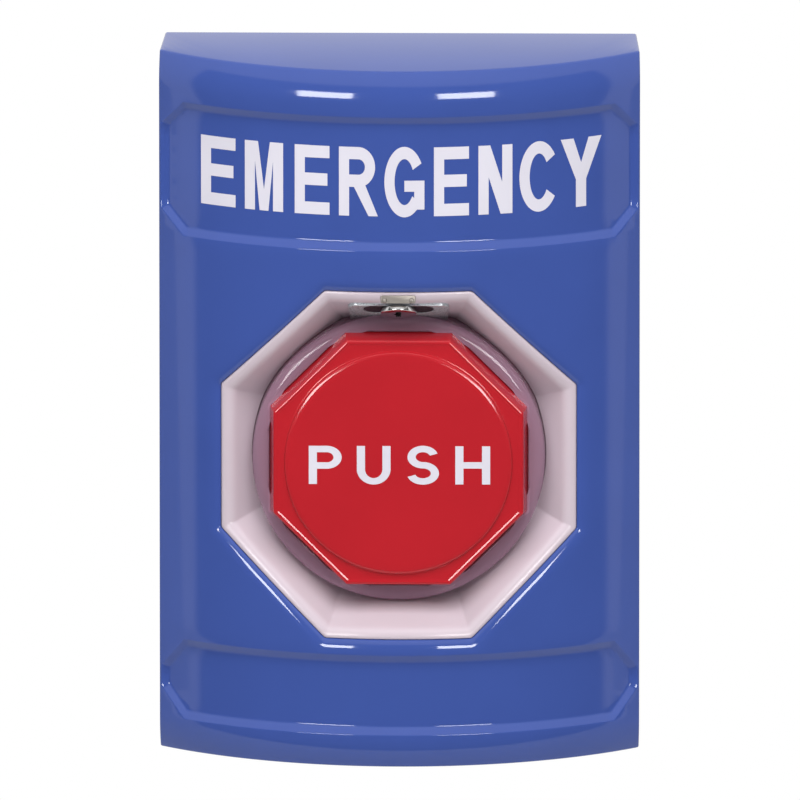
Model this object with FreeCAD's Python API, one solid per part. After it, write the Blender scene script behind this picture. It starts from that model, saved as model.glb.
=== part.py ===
# Wall-mounted panic button station, in millimetres.
# The origin is on the wall, behind the middle of the cover: +Z up, +X right, and the front faces -Y.
# Every piece is made where it sits. "Depth" is a distance in front of the wall, so it is -Y.
import FreeCAD, Part
import math
import os

from FreeCAD import Placement, Rotation, Vector

# Cover: overall size and skin
COVER_WIDTH = 82.5
COVER_HEIGHT = 123.0
COVER_SIDE_DEPTH = 15.5
COVER_BULGE = 16.0
COVER_WALL = 2.5
COVER_SIDE_LEAN = 0.8
EDGE_BEVEL_HEIGHT = 1.8
EDGE_BEVEL_DROP = 0.9
SHOULDER_HEIGHT = 3.0
SHOULDER_DROP = 0.35
SIDE_EDGE_ROUND = 0.6

# Sunken bands above and below the opening
BAND_SINK = 1.0
BAND_BEVEL = 1.3
BAND_HALF_WIDTH = 40.9
BAND_CORNER_RUN = 3.9
TOP_BAND_LOW = 29.9
TOP_BAND_HIGH = 53.3
TOP_BAND_CORNER = 4.3
BOTTOM_BAND_LOW = -55.2
BOTTOM_BAND_HIGH = -41.1
BOTTOM_BAND_CORNER = 5.2

# Octagonal opening and the white recess behind it
OPENING_FLATS = 61.0
OPENING_Z = -7.9
OPENING_BEVEL = 0.8
FIT_GAP = 0.3
BEZEL_EDGE_GAP = 0.1
BEZEL_SINK = 0.6
BEZEL_LIP = 1.5
BEZEL_WALL = 2.2
BEZEL_DEPTH = 13.0
BEZEL_FLOOR_FLATS = 46.8
BEZEL_FLANGE_WIDTH = 3.5
BEZEL_FLANGE_THICK = 2.0
BEZEL_FLOOR_THICK = 2.0

# Clear collar
COLLAR_DIAMETER = 50.3
COLLAR_SINK = 7.0
COLLAR_HOLE_FLATS = 44.4
COLLAR_FLANGE = 2.4
COLLAR_FLANGE_THICK = 2.0
COLLAR_BEVEL = 0.6

# Button cap and stem
CAP_GAP = 0.5
CAP_SINK = 3.6
CAP_WALL = 2.2
CAP_DISC_DIAMETER = 39.0
CAP_DISC_RISE = 0.6
CAP_EDGE = 0.7
CAP_FLANGE_THICK = 1.5
CAP_FLANGE_REACH = 0.7
CAP_CORNER_ROUND = 1.2
BUTTON_TRAVEL = 5.0
STEM_RADIUS = 6.0
STEM_SOCKET_WALL = 1.8
STEM_SOCKET_DEPTH = 6.0
STEM_FOOT_REACH = 0.5
STEM_FOOT_WIDTH = 9.0
STEM_FOOT_THICK = 2.0
STEM_TAIL_RADIUS = 2.5
STEM_TAIL_LENGTH = 13.5
RUNNING_GAP = 0.05

# Springs
WIRE_SIDES = 5
RETURN_COIL_RADIUS = 16.0
RETURN_WIRE = 1.2
RETURN_HALF_TURNS = 6
CONTACT_COIL_RADIUS = 1.6
CONTACT_WIRE = 0.5
CONTACT_HALF_TURNS = 7
LATCH_COIL_RADIUS = 1.9
LATCH_WIRE = 0.5
LATCH_HALF_TURNS = 7

# Mechanism housing
HOUSING_WALL = 2.5
HOUSING_BACK_THICK = 2.5
HOUSING_BORE_GAP = 1.6
HOUSING_BACK_DEPTH = 3.0
EAR_RADIUS = 4.0
BOSS_RADIUS = 3.2
EAR_THICK = 3.0
HOUSING_SCREW_CIRCLE = 63.4
HOUSING_SCREW_RADIUS = 1.45
HOUSING_SCREW_LENGTH = 10.0
SCREW_HEAD_RADIUS = 2.7
SCREW_HEAD_HEIGHT = 1.6
SCREW_CLEARANCE = 0.15

# Contact blocks behind the housing
BLOCK_WIDTH = 12.0
BLOCK_HEIGHT = 34.0
BLOCK_LENGTH = 25.0
BLOCK_OFFSET = 10.5
BLOCK_ROUND = 0.8
PLUNGER_RADIUS = 2.0
PLUNGER_LENGTH = 19.0
TERMINAL_Z = 12.0
TERMINAL_SCREW_RADIUS = 1.7
TERMINAL_HEAD_RADIUS = 3.1
TERMINAL_CLAMP = 7.0
TERMINAL_CLAMP_THICK = 1.0
WIRE_SLOT_HEIGHT = 3.2
TERMINAL_HEAD_HEIGHT = 2.0
TERMINAL_SINK = 3.0
TERMINAL_DEPTH = 11.0
WIRE_SLOT_BACK = 5.3
BLOCK_SCREW_Z = 7.8
BLOCK_SCREW_RADIUS = 1.2
BLOCK_SCREW_HEAD = 2.0
BLOCK_SCREW_LENGTH = 6.0
BLOCK_SCREW_HEAD_HEIGHT = 1.2
CONTACT_SPRING_SOLID = 3.5

# Key lock in the top facet of the recess
LOCK_SEAT = 3.5
LOCK_PLATE_WIDTH = 17.3
LOCK_PLATE_LENGTH = 10.0
LOCK_PLATE_THICK = 0.8
LOCK_PLATE_ROUND = 1.6
LOCK_FACE_WIDTH = 12.0
LOCK_FACE_LENGTH = 5.4
LOCK_PLATE_START = 0.8
BARREL_RADIUS = 3.6
BARREL_LENGTH = 12.6
BOSS_WALL = 1.8
BOSS_LENGTH = 10.6
PLUG_RADIUS = 2.5
PLUG_PROUD = 0.35
KEYWAY_LENGTH = 3.2
KEYWAY_WIDTH = 0.9
KEYWAY_DEPTH = 6.0
CLIP_WIDTH = 1.6
CLIP_THICK = 0.8
CLIP_GROOVE = 0.4
CLIP_MOUTH = 4.0
CAM_STANDOFF = 1.7
CAM_OFFSET = 2.0
CAM_RADIUS = 3.8
CAM_THICK = 1.5
TAIL_RADIUS = 1.2
CAM_SCREW_RADIUS = 0.6
CAM_SCREW_LENGTH = 3.0
CAM_SCREW_HEAD = 1.9
CAM_SCREW_HEAD_HEIGHT = 1.0
CAM_SCREW_SLOT = 0.5
LATCH_TRAVEL = 2.0
LATCH_THICK = 1.5
LATCH_WIDTH = 13.0
LATCH_YOKE_WALL = 2.0
LATCH_PLAY = 0.6
LATCH_DEPTH = 9.4
LATCH_POST = 2.0
LATCH_SPRING_ROOM = 8.0
LATCH_SPRING_RISE = 2.5
LATCH_TIP_GAP = 0.4

# Back plate and cover screws
PLATE_THICK = 1.5
PLATE_WINDOW_WIDTH = 46.0
PLATE_WINDOW_HEIGHT = 56.0
PLATE_ROUND = 3.0
PLATE_FLANGE_DEPTH = 11.0
PLATE_FLANGE_WIDTH = 64.0
PLATE_HOOK_WIDTH = 30.0
BOX_HOLE_SPACING = 83.3
BOX_HOLE_RADIUS = 2.2
COVER_SCREW_OFFSET = 24.0
COVER_SCREW_DEPTH = 6.5
COVER_SCREW_RADIUS = 1.4
COVER_SCREW_LENGTH = 6.5
COVER_SCREW_HEAD_RADIUS = 2.5
COVER_SCREW_HEAD_HEIGHT = 1.1

# Shared small sizes: a driver's slot, and how far pieces of one solid reach into each other
DRIVER_SLOT_WIDTH = 0.8
DRIVER_SLOT_DEPTH = 0.8
OVERLAP = 0.5

# Values worked out from those above
FRONT_RADIUS = (COVER_WIDTH / 2) ** 2 / (2 * COVER_BULGE) + COVER_BULGE / 2
APEX_Y = -(COVER_SIDE_DEPTH + COVER_BULGE)
FRONT_AXIS_Y = APEX_Y + FRONT_RADIUS
RIM_FLATS = OPENING_FLATS - 2 * (BEZEL_EDGE_GAP + BEZEL_LIP)
BEZEL_FLOOR_Y = APEX_Y + BEZEL_DEPTH
BEZEL_BACK_Y = BEZEL_FLOOR_Y + BEZEL_FLOOR_THICK
COLLAR_RADIUS = COLLAR_DIAMETER / 2
COLLAR_FACE_Y = APEX_Y + COLLAR_SINK
COLLAR_BACK_Y = BEZEL_BACK_Y + COLLAR_FLANGE_THICK
COLLAR_FLANGE_RADIUS = COLLAR_RADIUS + COLLAR_FLANGE
CAP_FLATS = COLLAR_HOLE_FLATS - 2 * CAP_GAP
CAP_FACE_Y = APEX_Y + CAP_SINK
CAP_FLANGE_Y = COLLAR_BACK_Y + FIT_GAP
CAP_BACK_Y = CAP_FLANGE_Y + CAP_FLANGE_THICK
CAP_FLANGE_RADIUS = COLLAR_HOLE_FLATS / 2 / math.cos(math.pi / 8) + CAP_FLANGE_REACH
CAP_INSIDE_Y = CAP_FACE_Y + CAP_WALL
HOUSING_BACK_Y = -HOUSING_BACK_DEPTH
HOUSING_FLOOR_Y = HOUSING_BACK_Y - HOUSING_BACK_THICK
HOUSING_BORE = CAP_FLANGE_RADIUS + HOUSING_BORE_GAP
HOUSING_RADIUS = HOUSING_BORE + HOUSING_WALL
PLUNGER_TIP_Y = HOUSING_FLOOR_Y - BUTTON_TRAVEL
FOOT_BACK_Y = PLUNGER_TIP_Y - FIT_GAP
STEM_FOOT_HALF = BLOCK_OFFSET + PLUNGER_RADIUS + STEM_FOOT_REACH
LATCH_BACK_Y = -LATCH_DEPTH
LATCH_FRONT_Y = LATCH_BACK_Y - LATCH_THICK
LATCH_SPRING_Z = OPENING_Z + HOUSING_RADIUS + LATCH_SPRING_RISE
BLOCK_BACK_Y = HOUSING_BACK_Y + BLOCK_LENGTH
PLUNGER_END_Y = PLUNGER_TIP_Y + PLUNGER_LENGTH
PLUNGER_BORE_END_Y = PLUNGER_END_Y + BUTTON_TRAVEL + CONTACT_SPRING_SOLID
CAM_LOW = BARREL_LENGTH + CAM_STANDOFF
CAM_HIGH = CAM_LOW + CAM_THICK
PLATE_HALF_WIDTH = COVER_WIDTH / 2 - COVER_SIDE_LEAN - COVER_WALL - FIT_GAP
PLATE_HALF_HEIGHT = COVER_HEIGHT / 2 - COVER_WALL - FIT_GAP
BIG = 400.0


def box(x_low, x_high, y_low, y_high, z_low, z_high):
    """Box between two corners."""
    return Part.makeBox(x_high - x_low, y_high - y_low, z_high - z_low, Vector(x_low, y_low, z_low))


def rod(radius, y_front, y_back, x=0.0, z=0.0):
    """Round bar along Y."""
    return Part.makeCylinder(radius, y_back - y_front, Vector(x, y_front, z), Vector(0, 1, 0))


def post(radius, z_low, z_high, x):
    """Round bar along Z at the cover screws' depth."""
    return Part.makeCylinder(radius, z_high - z_low, Vector(x, -COVER_SCREW_DEPTH, z_low))


def beyond(point, normal):
    """Everything past the plane through a point, on the side that its normal points to."""
    block = Part.makeBox(BIG, BIG, BIG, Vector(-BIG / 2, -BIG / 2, 0))
    block.Placement = Placement(point, Rotation(Vector(0, 0, 1), normal))
    return block


def octagon_corners(flats_x, flats_z, y, centre_z=OPENING_Z):
    """Eight corners in the plane at y; the flats may differ across X and across Z."""
    reach_x = flats_x / 2
    reach_z = flats_z / 2
    half_x = reach_x * math.tan(math.pi / 8)
    half_z = reach_z * math.tan(math.pi / 8)
    signs = [(1, 1), (-1, 1), (-1, -1), (1, -1)]
    corners = []
    for number, (sign_x, sign_z) in enumerate(signs):
        pair = [(reach_x, half_x), (half_z, reach_z)]
        if number % 2:
            pair.reverse()
        corners += [Vector(sign_x * x, y, centre_z + sign_z * z) for x, z in pair]
    return corners


def outline(corners):
    """Closed wire through the corners."""
    return Part.makePolygon(corners + [corners[0]])


def octagon_bar(flats, y_front, y_back):
    """Straight octagonal bar along Y about the opening's middle."""
    face = Part.Face(outline(octagon_corners(flats, flats, y_front)))
    return face.extrude(Vector(0, y_back - y_front, 0))


def front_cylinder(radius):
    """Solid cylinder that shares the bowed front's axis."""
    return Part.makeCylinder(radius, BIG, Vector(0, FRONT_AXIS_Y, -BIG / 2))


def front_y(radius, x):
    """Y of the front skin of this radius at x."""
    return FRONT_AXIS_Y - math.sqrt(radius ** 2 - x ** 2)


def cover_body(inset):
    """Straight-sided body of the cover, moved inwards by the inset on every side but the wall's."""
    half = COVER_WIDTH / 2 - inset
    back = half - COVER_SIDE_LEAN
    radius = FRONT_RADIUS - inset
    side_y = front_y(radius, half)
    left = Vector(-half, side_y, 0)
    right = Vector(half, side_y, 0)
    middle = Vector(0, FRONT_AXIS_Y - radius, 0)
    edges = [
        Part.Arc(left, middle, right).toShape(),
        Part.makeLine(right, Vector(back, 0, 0)),
        Part.makeLine(Vector(back, 0, 0), Vector(-back, 0, 0)),
        Part.makeLine(Vector(-back, 0, 0), left),
    ]
    height = COVER_HEIGHT - 2 * inset
    body = Part.Face(Part.Wire(edges)).extrude(Vector(0, 0, height))
    body.translate(Vector(0, 0, -height / 2))
    return body


def front_skin():
    """Turned envelope of the bowed front: bevelled rims and soft shoulders at the top and bottom."""
    top = COVER_HEIGHT / 2
    bevel_z = top - EDGE_BEVEL_HEIGHT
    flat_z = bevel_z - SHOULDER_HEIGHT
    bevel_r = FRONT_RADIUS - SHOULDER_DROP
    rim_r = bevel_r - EDGE_BEVEL_DROP
    mid_r = FRONT_RADIUS - SHOULDER_DROP / 4
    mid_z = flat_z + SHOULDER_HEIGHT / 2

    def at(r, z):
        return Vector(r, 0, z)

    edges = [
        Part.makeLine(at(0, -top), at(rim_r, -top)),
        Part.makeLine(at(rim_r, -top), at(bevel_r, -bevel_z)),
        Part.makeLine(at(bevel_r, -bevel_z), at(mid_r, -mid_z)),
        Part.makeLine(at(mid_r, -mid_z), at(FRONT_RADIUS, -flat_z)),
        Part.makeLine(at(FRONT_RADIUS, -flat_z), at(FRONT_RADIUS, flat_z)),
        Part.makeLine(at(FRONT_RADIUS, flat_z), at(mid_r, mid_z)),
        Part.makeLine(at(mid_r, mid_z), at(bevel_r, bevel_z)),
        Part.makeLine(at(bevel_r, bevel_z), at(rim_r, top)),
        Part.makeLine(at(rim_r, top), at(0, top)),
        Part.makeLine(at(0, top), at(0, -top)),
    ]
    face = Part.Face(Part.Wire(edges))
    skin = face.revolve(Vector(0, 0, 0), Vector(0, 0, 1), 360)
    skin.translate(Vector(0, FRONT_AXIS_Y, 0))
    return skin


def band_cutter(low, high, corner):
    """What is sunk into the front for one band: bevelled all round, with its four corners cut off."""
    outer = FRONT_RADIUS
    floor = outer - BAND_SINK
    over = 1.0
    grow = over * BAND_BEVEL / BAND_SINK
    profile = [
        Vector(floor, 0, low + BAND_BEVEL),
        Vector(outer + over, 0, low - grow),
        Vector(outer + over, 0, high + grow),
        Vector(floor, 0, high - BAND_BEVEL),
    ]
    ring = Part.Face(outline(profile)).revolve(Vector(0, 0, 0), Vector(0, 0, 1), 360)
    ring.translate(Vector(0, FRONT_AXIS_Y, 0))
    side_y = front_y(outer, BAND_HALF_WIDTH)
    floor_x = BAND_HALF_WIDTH - BAND_BEVEL
    side_slope = Vector(front_y(floor, floor_x) - side_y, BAND_BEVEL, 0)
    corner_x = BAND_HALF_WIDTH - BAND_CORNER_RUN
    for side in (-1, 1):
        normal = Vector(side * side_slope.x, side_slope.y, 0)
        ring = ring.cut(beyond(Vector(side * BAND_HALF_WIDTH, side_y, 0), normal))
        for z, way in ((low, -1), (high, 1)):
            rim = Vector(side * corner_x, front_y(outer, corner_x), z)
            end = Vector(side * BAND_HALF_WIDTH, side_y, z - way * corner)
            along = end - rim
            outwards = Vector(side * corner, 0, way * BAND_CORNER_RUN).normalize()
            inwards = Vector(0, BAND_SINK, 0) - outwards * BAND_BEVEL
            normal = along.cross(inwards)
            if normal.dot(outwards) < 0:
                normal = -normal
            ring = ring.cut(beyond(rim, normal))
    front_half = box(-BIG / 2, BIG / 2, -BIG / 2, 0, -BIG / 2, BIG / 2)
    return ring.common(front_half)


def rounded(shape, edges, radius):
    """Fillet of the picked edges."""
    return shape.makeFillet(radius, edges)


def bevelled(shape, edges, size):
    """Flat bevel of the picked edges, used on round pieces to keep their facets few."""
    return shape.makeChamfer(size, edges)


def vertical_edges(shape, x_at_least, y_below):
    """Edges parallel to Z near the two sides of the front."""
    picked = []
    for edge in shape.Edges:
        ends = [vertex.Point for vertex in edge.Vertexes]
        if len(ends) < 2:
            continue
        run = ends[1] - ends[0]
        upright = abs(run.z) > COVER_HEIGHT / 2 and abs(run.x) < 0.01 and abs(run.y) < 0.01
        if upright and abs(ends[0].x) > x_at_least and ends[0].y < y_below:
            picked.append(edge)
    return picked


def lock_frame():
    """Lock's place: a point on the top facet, and the direction of its axis up into the station."""
    corner = RIM_FLATS / 2 * math.tan(math.pi / 8)
    rim = Vector(0, front_y(FRONT_RADIUS - BEZEL_SINK, corner), OPENING_Z + RIM_FLATS / 2)
    floor = Vector(0, BEZEL_FLOOR_Y, OPENING_Z + BEZEL_FLOOR_FLATS / 2)
    down = (floor - rim).normalize()
    axis = Vector(0, -down.z, down.y)
    return rim + down * LOCK_SEAT, axis, down


def on_lock(shape):
    """Moves a shape made along +Z at the origin onto the lock's axis; its own -Y points to the rim."""
    seat, axis, down = lock_frame()
    right = Vector(1, 0, 0)
    matrix = FreeCAD.Matrix(
        right.x, down.x, axis.x, seat.x,
        right.y, down.y, axis.y, seat.y,
        right.z, down.z, axis.z, seat.z,
        0, 0, 0, 1,
    )
    moved = shape.copy()
    moved.Placement = Placement(matrix).multiply(moved.Placement)
    return moved


def pin(radius, low, high):
    """Round bar along the lock's axis, before it is placed."""
    return Part.makeCylinder(radius, high - low, Vector(0, 0, low))


def slotted_bar(width, length, low, high):
    """Bar with rounded ends along the lock's axis, before it is placed."""
    radius = length / 2
    reach = width / 2 - radius
    bar = Part.makeBox(2 * reach, length, high - low, Vector(-reach, -radius, low))
    for side in (-1, 1):
        bar = bar.fuse(Part.makeCylinder(radius, high - low, Vector(side * reach, 0, low)))
    return bar.removeSplitter()


def front_cover():
    """Blue moulded cover."""
    outer = cover_body(0).common(front_skin())
    side_edges = vertical_edges(outer, COVER_WIDTH / 2 - 0.1, -COVER_SIDE_DEPTH / 2)
    outer = rounded(outer, side_edges, SIDE_EDGE_ROUND)
    cover = outer.cut(octagon_bar(OPENING_FLATS, APEX_Y - 5, 0))
    rim = []
    for edge in cover.Edges:
        middle = edge.valueAt((edge.FirstParameter + edge.LastParameter) / 2)
        on_skin = abs(math.hypot(middle.x, middle.y - FRONT_AXIS_Y) - FRONT_RADIUS) < 0.01
        near = max(abs(middle.x), abs(middle.z - OPENING_Z)) < OPENING_FLATS / 2 + 0.1
        if on_skin and near:
            rim.append(edge)
    cover = bevelled(cover, rim, OPENING_BEVEL)
    cover = cover.cut(cover_body(COVER_WALL))
    cover = cover.cut(band_cutter(TOP_BAND_LOW, TOP_BAND_HIGH, TOP_BAND_CORNER))
    cover = cover.cut(band_cutter(BOTTOM_BAND_LOW, BOTTOM_BAND_HIGH, BOTTOM_BAND_CORNER))
    bottom = -COVER_HEIGHT / 2
    for side in (-1, 1):
        x = side * COVER_SCREW_OFFSET
        shank_radius = COVER_SCREW_RADIUS + SCREW_CLEARANCE
        head_radius = COVER_SCREW_HEAD_RADIUS + SCREW_CLEARANCE
        seat = bottom + COVER_SCREW_HEAD_HEIGHT + FIT_GAP
        cover = cover.cut(post(shank_radius, bottom - 1, bottom + COVER_WALL + 1, x))
        cover = cover.cut(post(head_radius, bottom - 1, seat, x))
    return cover


def recess(extra):
    """Inside of the white recess, or its outside where extra is the wall's thickness."""
    top_y = front_y(FRONT_RADIUS - BEZEL_SINK, RIM_FLATS / 2 * math.tan(math.pi / 8))
    side_y = front_y(FRONT_RADIUS - BEZEL_SINK, RIM_FLATS / 2)
    front = APEX_Y - 2.0
    narrowing = (RIM_FLATS - BEZEL_FLOOR_FLATS) / 2

    def flats_at(rim_y, y):
        return RIM_FLATS + 2 * narrowing * (rim_y - y) / (BEZEL_FLOOR_Y - rim_y)

    wires = []
    for y in (front, BEZEL_FLOOR_Y):
        across_x = flats_at(side_y, y) + 2 * extra
        across_z = flats_at(top_y, y) + 2 * extra
        wires.append(outline(octagon_corners(across_x, across_z, y)))
    return Part.makeLoft(wires, True, True)


def housing_screw_places():
    """Middle of each of the four housing screws, in X and Z."""
    reach = HOUSING_SCREW_CIRCLE / 2 / math.sqrt(2)
    return [(x * reach, OPENING_Z + z * reach) for x in (-1, 1) for z in (-1, 1)]


def octagon_bezel():
    """White recess with its lip, facets, flange, screw bosses and lock boss."""
    frame_flats = OPENING_FLATS - 2 * BEZEL_EDGE_GAP
    flange_flats = OPENING_FLATS + 2 * BEZEL_FLANGE_WIDTH
    lip_skin = front_cylinder(FRONT_RADIUS - BEZEL_SINK)
    bar = octagon_bar(frame_flats, APEX_Y - 1, BEZEL_BACK_Y)
    ring_radius = COLLAR_RADIUS + BEZEL_WALL + FIT_GAP
    ring = rod(ring_radius, BEZEL_FLOOR_Y - BEZEL_FLOOR_THICK, BEZEL_BACK_Y, 0, OPENING_Z)
    wall = recess(BEZEL_WALL).fuse(ring)
    body = wall.common(bar).common(lip_skin)
    flange_skin = FRONT_RADIUS - COVER_WALL - FIT_GAP
    shell = front_cylinder(flange_skin).cut(front_cylinder(flange_skin - BEZEL_FLANGE_THICK))
    flange = shell.common(octagon_bar(flange_flats, APEX_Y, 0))
    body = body.fuse(flange)
    for x, z in housing_screw_places():
        start = front_y(flange_skin - BEZEL_FLANGE_THICK / 2, abs(x))
        body = body.fuse(rod(BOSS_RADIUS, start, COLLAR_BACK_Y, x, z))
    boss = on_lock(pin(BARREL_RADIUS + BOSS_WALL, -1, BOSS_LENGTH))
    boss = boss.common(front_cylinder(flange_skin))
    body = body.fuse(boss)
    inside = recess(0).common(octagon_bar(RIM_FLATS, APEX_Y - 3, 0))
    body = body.cut(inside)
    body = body.cut(rod(COLLAR_RADIUS + FIT_GAP, APEX_Y, BEZEL_BACK_Y + OVERLAP, 0, OPENING_Z))
    body = body.cut(rod(COLLAR_FLANGE_RADIUS + FIT_GAP, BEZEL_BACK_Y, 0, 0, OPENING_Z))
    body = body.cut(on_lock(pin(BARREL_RADIUS + RUNNING_GAP, -2, BOSS_LENGTH + 1)))
    for x, z in housing_screw_places():
        start = front_y(flange_skin, abs(x)) - OVERLAP
        body = body.cut(rod(HOUSING_SCREW_RADIUS + RUNNING_GAP, start, COLLAR_BACK_Y + 1, x, z))
    return body.removeSplitter()


def clear_collar():
    """Clear round collar with its octagonal hole and rear flange."""
    collar = rod(COLLAR_RADIUS, COLLAR_FACE_Y, COLLAR_BACK_Y, 0, OPENING_Z)
    front_edge = [edge for edge in collar.Edges
                  if edge.Length > COLLAR_RADIUS * 6 and abs(edge.BoundBox.YMax - COLLAR_FACE_Y) < 0.01]
    collar = bevelled(collar, front_edge, COLLAR_BEVEL)
    collar = collar.fuse(rod(COLLAR_FLANGE_RADIUS, BEZEL_BACK_Y, COLLAR_BACK_Y, 0, OPENING_Z))
    collar = collar.cut(octagon_bar(COLLAR_HOLE_FLATS, COLLAR_FACE_Y - 1, COLLAR_BACK_Y + 1))
    return collar.removeSplitter()


def button_cap():
    """Red octagonal cap: hollow, with a raised disc, a rear flange and a socket for the stem."""
    cap = octagon_bar(CAP_FLATS, CAP_FACE_Y, CAP_BACK_Y)
    corners = [edge for edge in cap.Edges if edge.BoundBox.YLength > CAP_BACK_Y - CAP_FACE_Y - 0.1]
    cap = rounded(cap, corners, CAP_CORNER_ROUND)
    front = [edge for edge in cap.Edges if edge.BoundBox.YMax < CAP_FACE_Y + 0.01]
    cap = rounded(cap, front, CAP_EDGE)
    disc = rod(CAP_DISC_DIAMETER / 2, CAP_FACE_Y - CAP_DISC_RISE, CAP_FACE_Y + CAP_WALL / 2, 0, OPENING_Z)
    disc_edge = [edge for edge in disc.Edges if edge.BoundBox.YMax < CAP_FACE_Y]
    disc = bevelled(disc, disc_edge, CAP_DISC_RISE / 2)
    cap = cap.fuse(disc)
    cap = cap.fuse(rod(CAP_FLANGE_RADIUS, CAP_FLANGE_Y, CAP_BACK_Y, 0, OPENING_Z))
    cap = cap.cut(octagon_bar(CAP_FLATS - 2 * CAP_WALL, CAP_INSIDE_Y, CAP_BACK_Y + 1))
    socket_radius = STEM_RADIUS + STEM_SOCKET_WALL
    socket_end = CAP_INSIDE_Y + STEM_SOCKET_DEPTH
    cap = cap.fuse(rod(socket_radius, CAP_INSIDE_Y - OVERLAP, socket_end, 0, OPENING_Z))
    cap = cap.cut(rod(STEM_RADIUS + RUNNING_GAP, CAP_INSIDE_Y, CAP_BACK_Y, 0, OPENING_Z))
    return cap.removeSplitter()


def plunger_stem():
    """Stem in the cap's socket, with the foot that pushes the contacts and a guided tail."""
    foot_front = FOOT_BACK_Y - STEM_FOOT_THICK
    stem = rod(STEM_RADIUS, CAP_INSIDE_Y, foot_front + OVERLAP, 0, OPENING_Z)
    foot = box(-STEM_FOOT_HALF, STEM_FOOT_HALF, foot_front, FOOT_BACK_Y,
               OPENING_Z - STEM_FOOT_WIDTH / 2, OPENING_Z + STEM_FOOT_WIDTH / 2)
    ends = [edge for edge in foot.Edges if edge.BoundBox.YLength > STEM_FOOT_THICK - 0.1]
    foot = rounded(foot, ends, STEM_FOOT_WIDTH / 4)
    tail = rod(STEM_TAIL_RADIUS, FOOT_BACK_Y - OVERLAP, FOOT_BACK_Y + STEM_TAIL_LENGTH, 0, OPENING_Z)
    return stem.fuse(foot).fuse(tail).removeSplitter()


def half_ring(ring_radius, wire):
    """Half ring of many-sided wire about Z, from -X round by -Y to +X; few sides keep the facets few."""
    corners = []
    for number in range(WIRE_SIDES):
        angle = (number + 0.5) * 2 * math.pi / WIRE_SIDES
        corners.append(Vector(-ring_radius + wire / 2 * math.cos(angle), 0, wire / 2 * math.sin(angle)))
    return Part.Face(outline(corners)).revolve(Vector(0, 0, 0), Vector(0, 0, 1), 180)


def coil(radius, wire, half_turns, start, direction, length):
    """Compression spring between two planes, made of half rings that lean one way and the other.

    Each half ring ends square to the line across the coil, so the next one runs on smoothly.
    """
    rise = (length - wire) / half_turns
    lean = math.degrees(math.atan2(rise, 2 * radius))
    ring_radius = math.hypot(radius, rise / 2)
    spring = None
    for number in range(half_turns):
        ring = half_ring(ring_radius, wire)
        if number % 2:
            ring.rotate(Vector(0, 0, 0), Vector(0, 0, 1), 180)
        ring.rotate(Vector(0, 0, 0), Vector(0, 1, 0), lean if number % 2 else -lean)
        ring.translate(Vector(0, 0, wire / 2 + rise * (number + 0.5)))
        spring = ring if spring is None else spring.fuse(ring)
    spring.Placement = Placement(start, Rotation(Vector(0, 0, 1), direction)).multiply(spring.Placement)
    return spring


def return_spring():
    """Pushes the cap out again."""
    length = HOUSING_FLOOR_Y - CAP_INSIDE_Y - 2 * RUNNING_GAP
    start = Vector(0, CAP_INSIDE_Y + RUNNING_GAP, OPENING_Z)
    return coil(RETURN_COIL_RADIUS, RETURN_WIRE, RETURN_HALF_TURNS, start, Vector(0, 1, 0), length)


def contact_places():
    """X of each contact block's middle, with its side's name."""
    return [("left", -BLOCK_OFFSET), ("right", BLOCK_OFFSET)]


def spring_post():
    """Block on the housing that the latch spring leans on."""
    x = -LATCH_WIDTH / 2 - LATCH_SPRING_ROOM
    reach = LATCH_COIL_RADIUS + LATCH_WIRE
    return box(x - LATCH_POST, x, LATCH_FRONT_Y - reach, HOUSING_BACK_Y,
               OPENING_Z + HOUSING_BORE / 2, LATCH_SPRING_Z + reach)


def mechanism_housing():
    """Cup behind the collar: guides the stem and latch, and carries the contact blocks."""
    housing = rod(HOUSING_RADIUS, COLLAR_BACK_Y, HOUSING_BACK_Y, 0, OPENING_Z)
    for x, z in housing_screw_places():
        housing = housing.fuse(rod(EAR_RADIUS, COLLAR_BACK_Y, COLLAR_BACK_Y + EAR_THICK, x, z))
    housing = housing.fuse(spring_post())
    housing = housing.cut(rod(HOUSING_BORE, COLLAR_BACK_Y - 1, HOUSING_FLOOR_Y, 0, OPENING_Z))
    housing = housing.cut(rod(STEM_TAIL_RADIUS + RUNNING_GAP, HOUSING_FLOOR_Y - 1, 1, 0, OPENING_Z))
    for x, z in housing_screw_places():
        housing = housing.cut(rod(HOUSING_SCREW_RADIUS + SCREW_CLEARANCE, COLLAR_BACK_Y - 1,
                                  COLLAR_BACK_Y + EAR_THICK + 1, x, z))
    for name, x in contact_places():
        housing = housing.cut(rod(PLUNGER_RADIUS + FIT_GAP, HOUSING_FLOOR_Y - 1, 1, x, OPENING_Z))
        for way in (-1, 1):
            housing = housing.cut(rod(BLOCK_SCREW_RADIUS + SCREW_CLEARANCE, HOUSING_FLOOR_Y - 1, 1, x,
                                      OPENING_Z + way * BLOCK_SCREW_Z))
    window = box(-LATCH_WIDTH / 2 - LATCH_TRAVEL - FIT_GAP, LATCH_WIDTH / 2 + FIT_GAP,
                 LATCH_FRONT_Y - FIT_GAP, LATCH_BACK_Y + FIT_GAP,
                 OPENING_Z + HOUSING_BORE / 2, OPENING_Z + HOUSING_RADIUS + 1)
    return housing.cut(window).removeSplitter()


def housing_screws():
    """Four screws through the housing's ears into the bezel's bosses."""
    screws = []
    for x, z in housing_screw_places():
        seat = COLLAR_BACK_Y + EAR_THICK
        tip = COLLAR_BACK_Y - HOUSING_SCREW_LENGTH + 1
        shank = rod(HOUSING_SCREW_RADIUS, tip, seat + OVERLAP / 2, x, z)
        head = rod(SCREW_HEAD_RADIUS, seat, seat + SCREW_HEAD_HEIGHT, x, z)
        screws.append(shank.fuse(driver_slot(head, x, z, seat + SCREW_HEAD_HEIGHT)).removeSplitter())
    return Part.makeCompound(screws)


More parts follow.
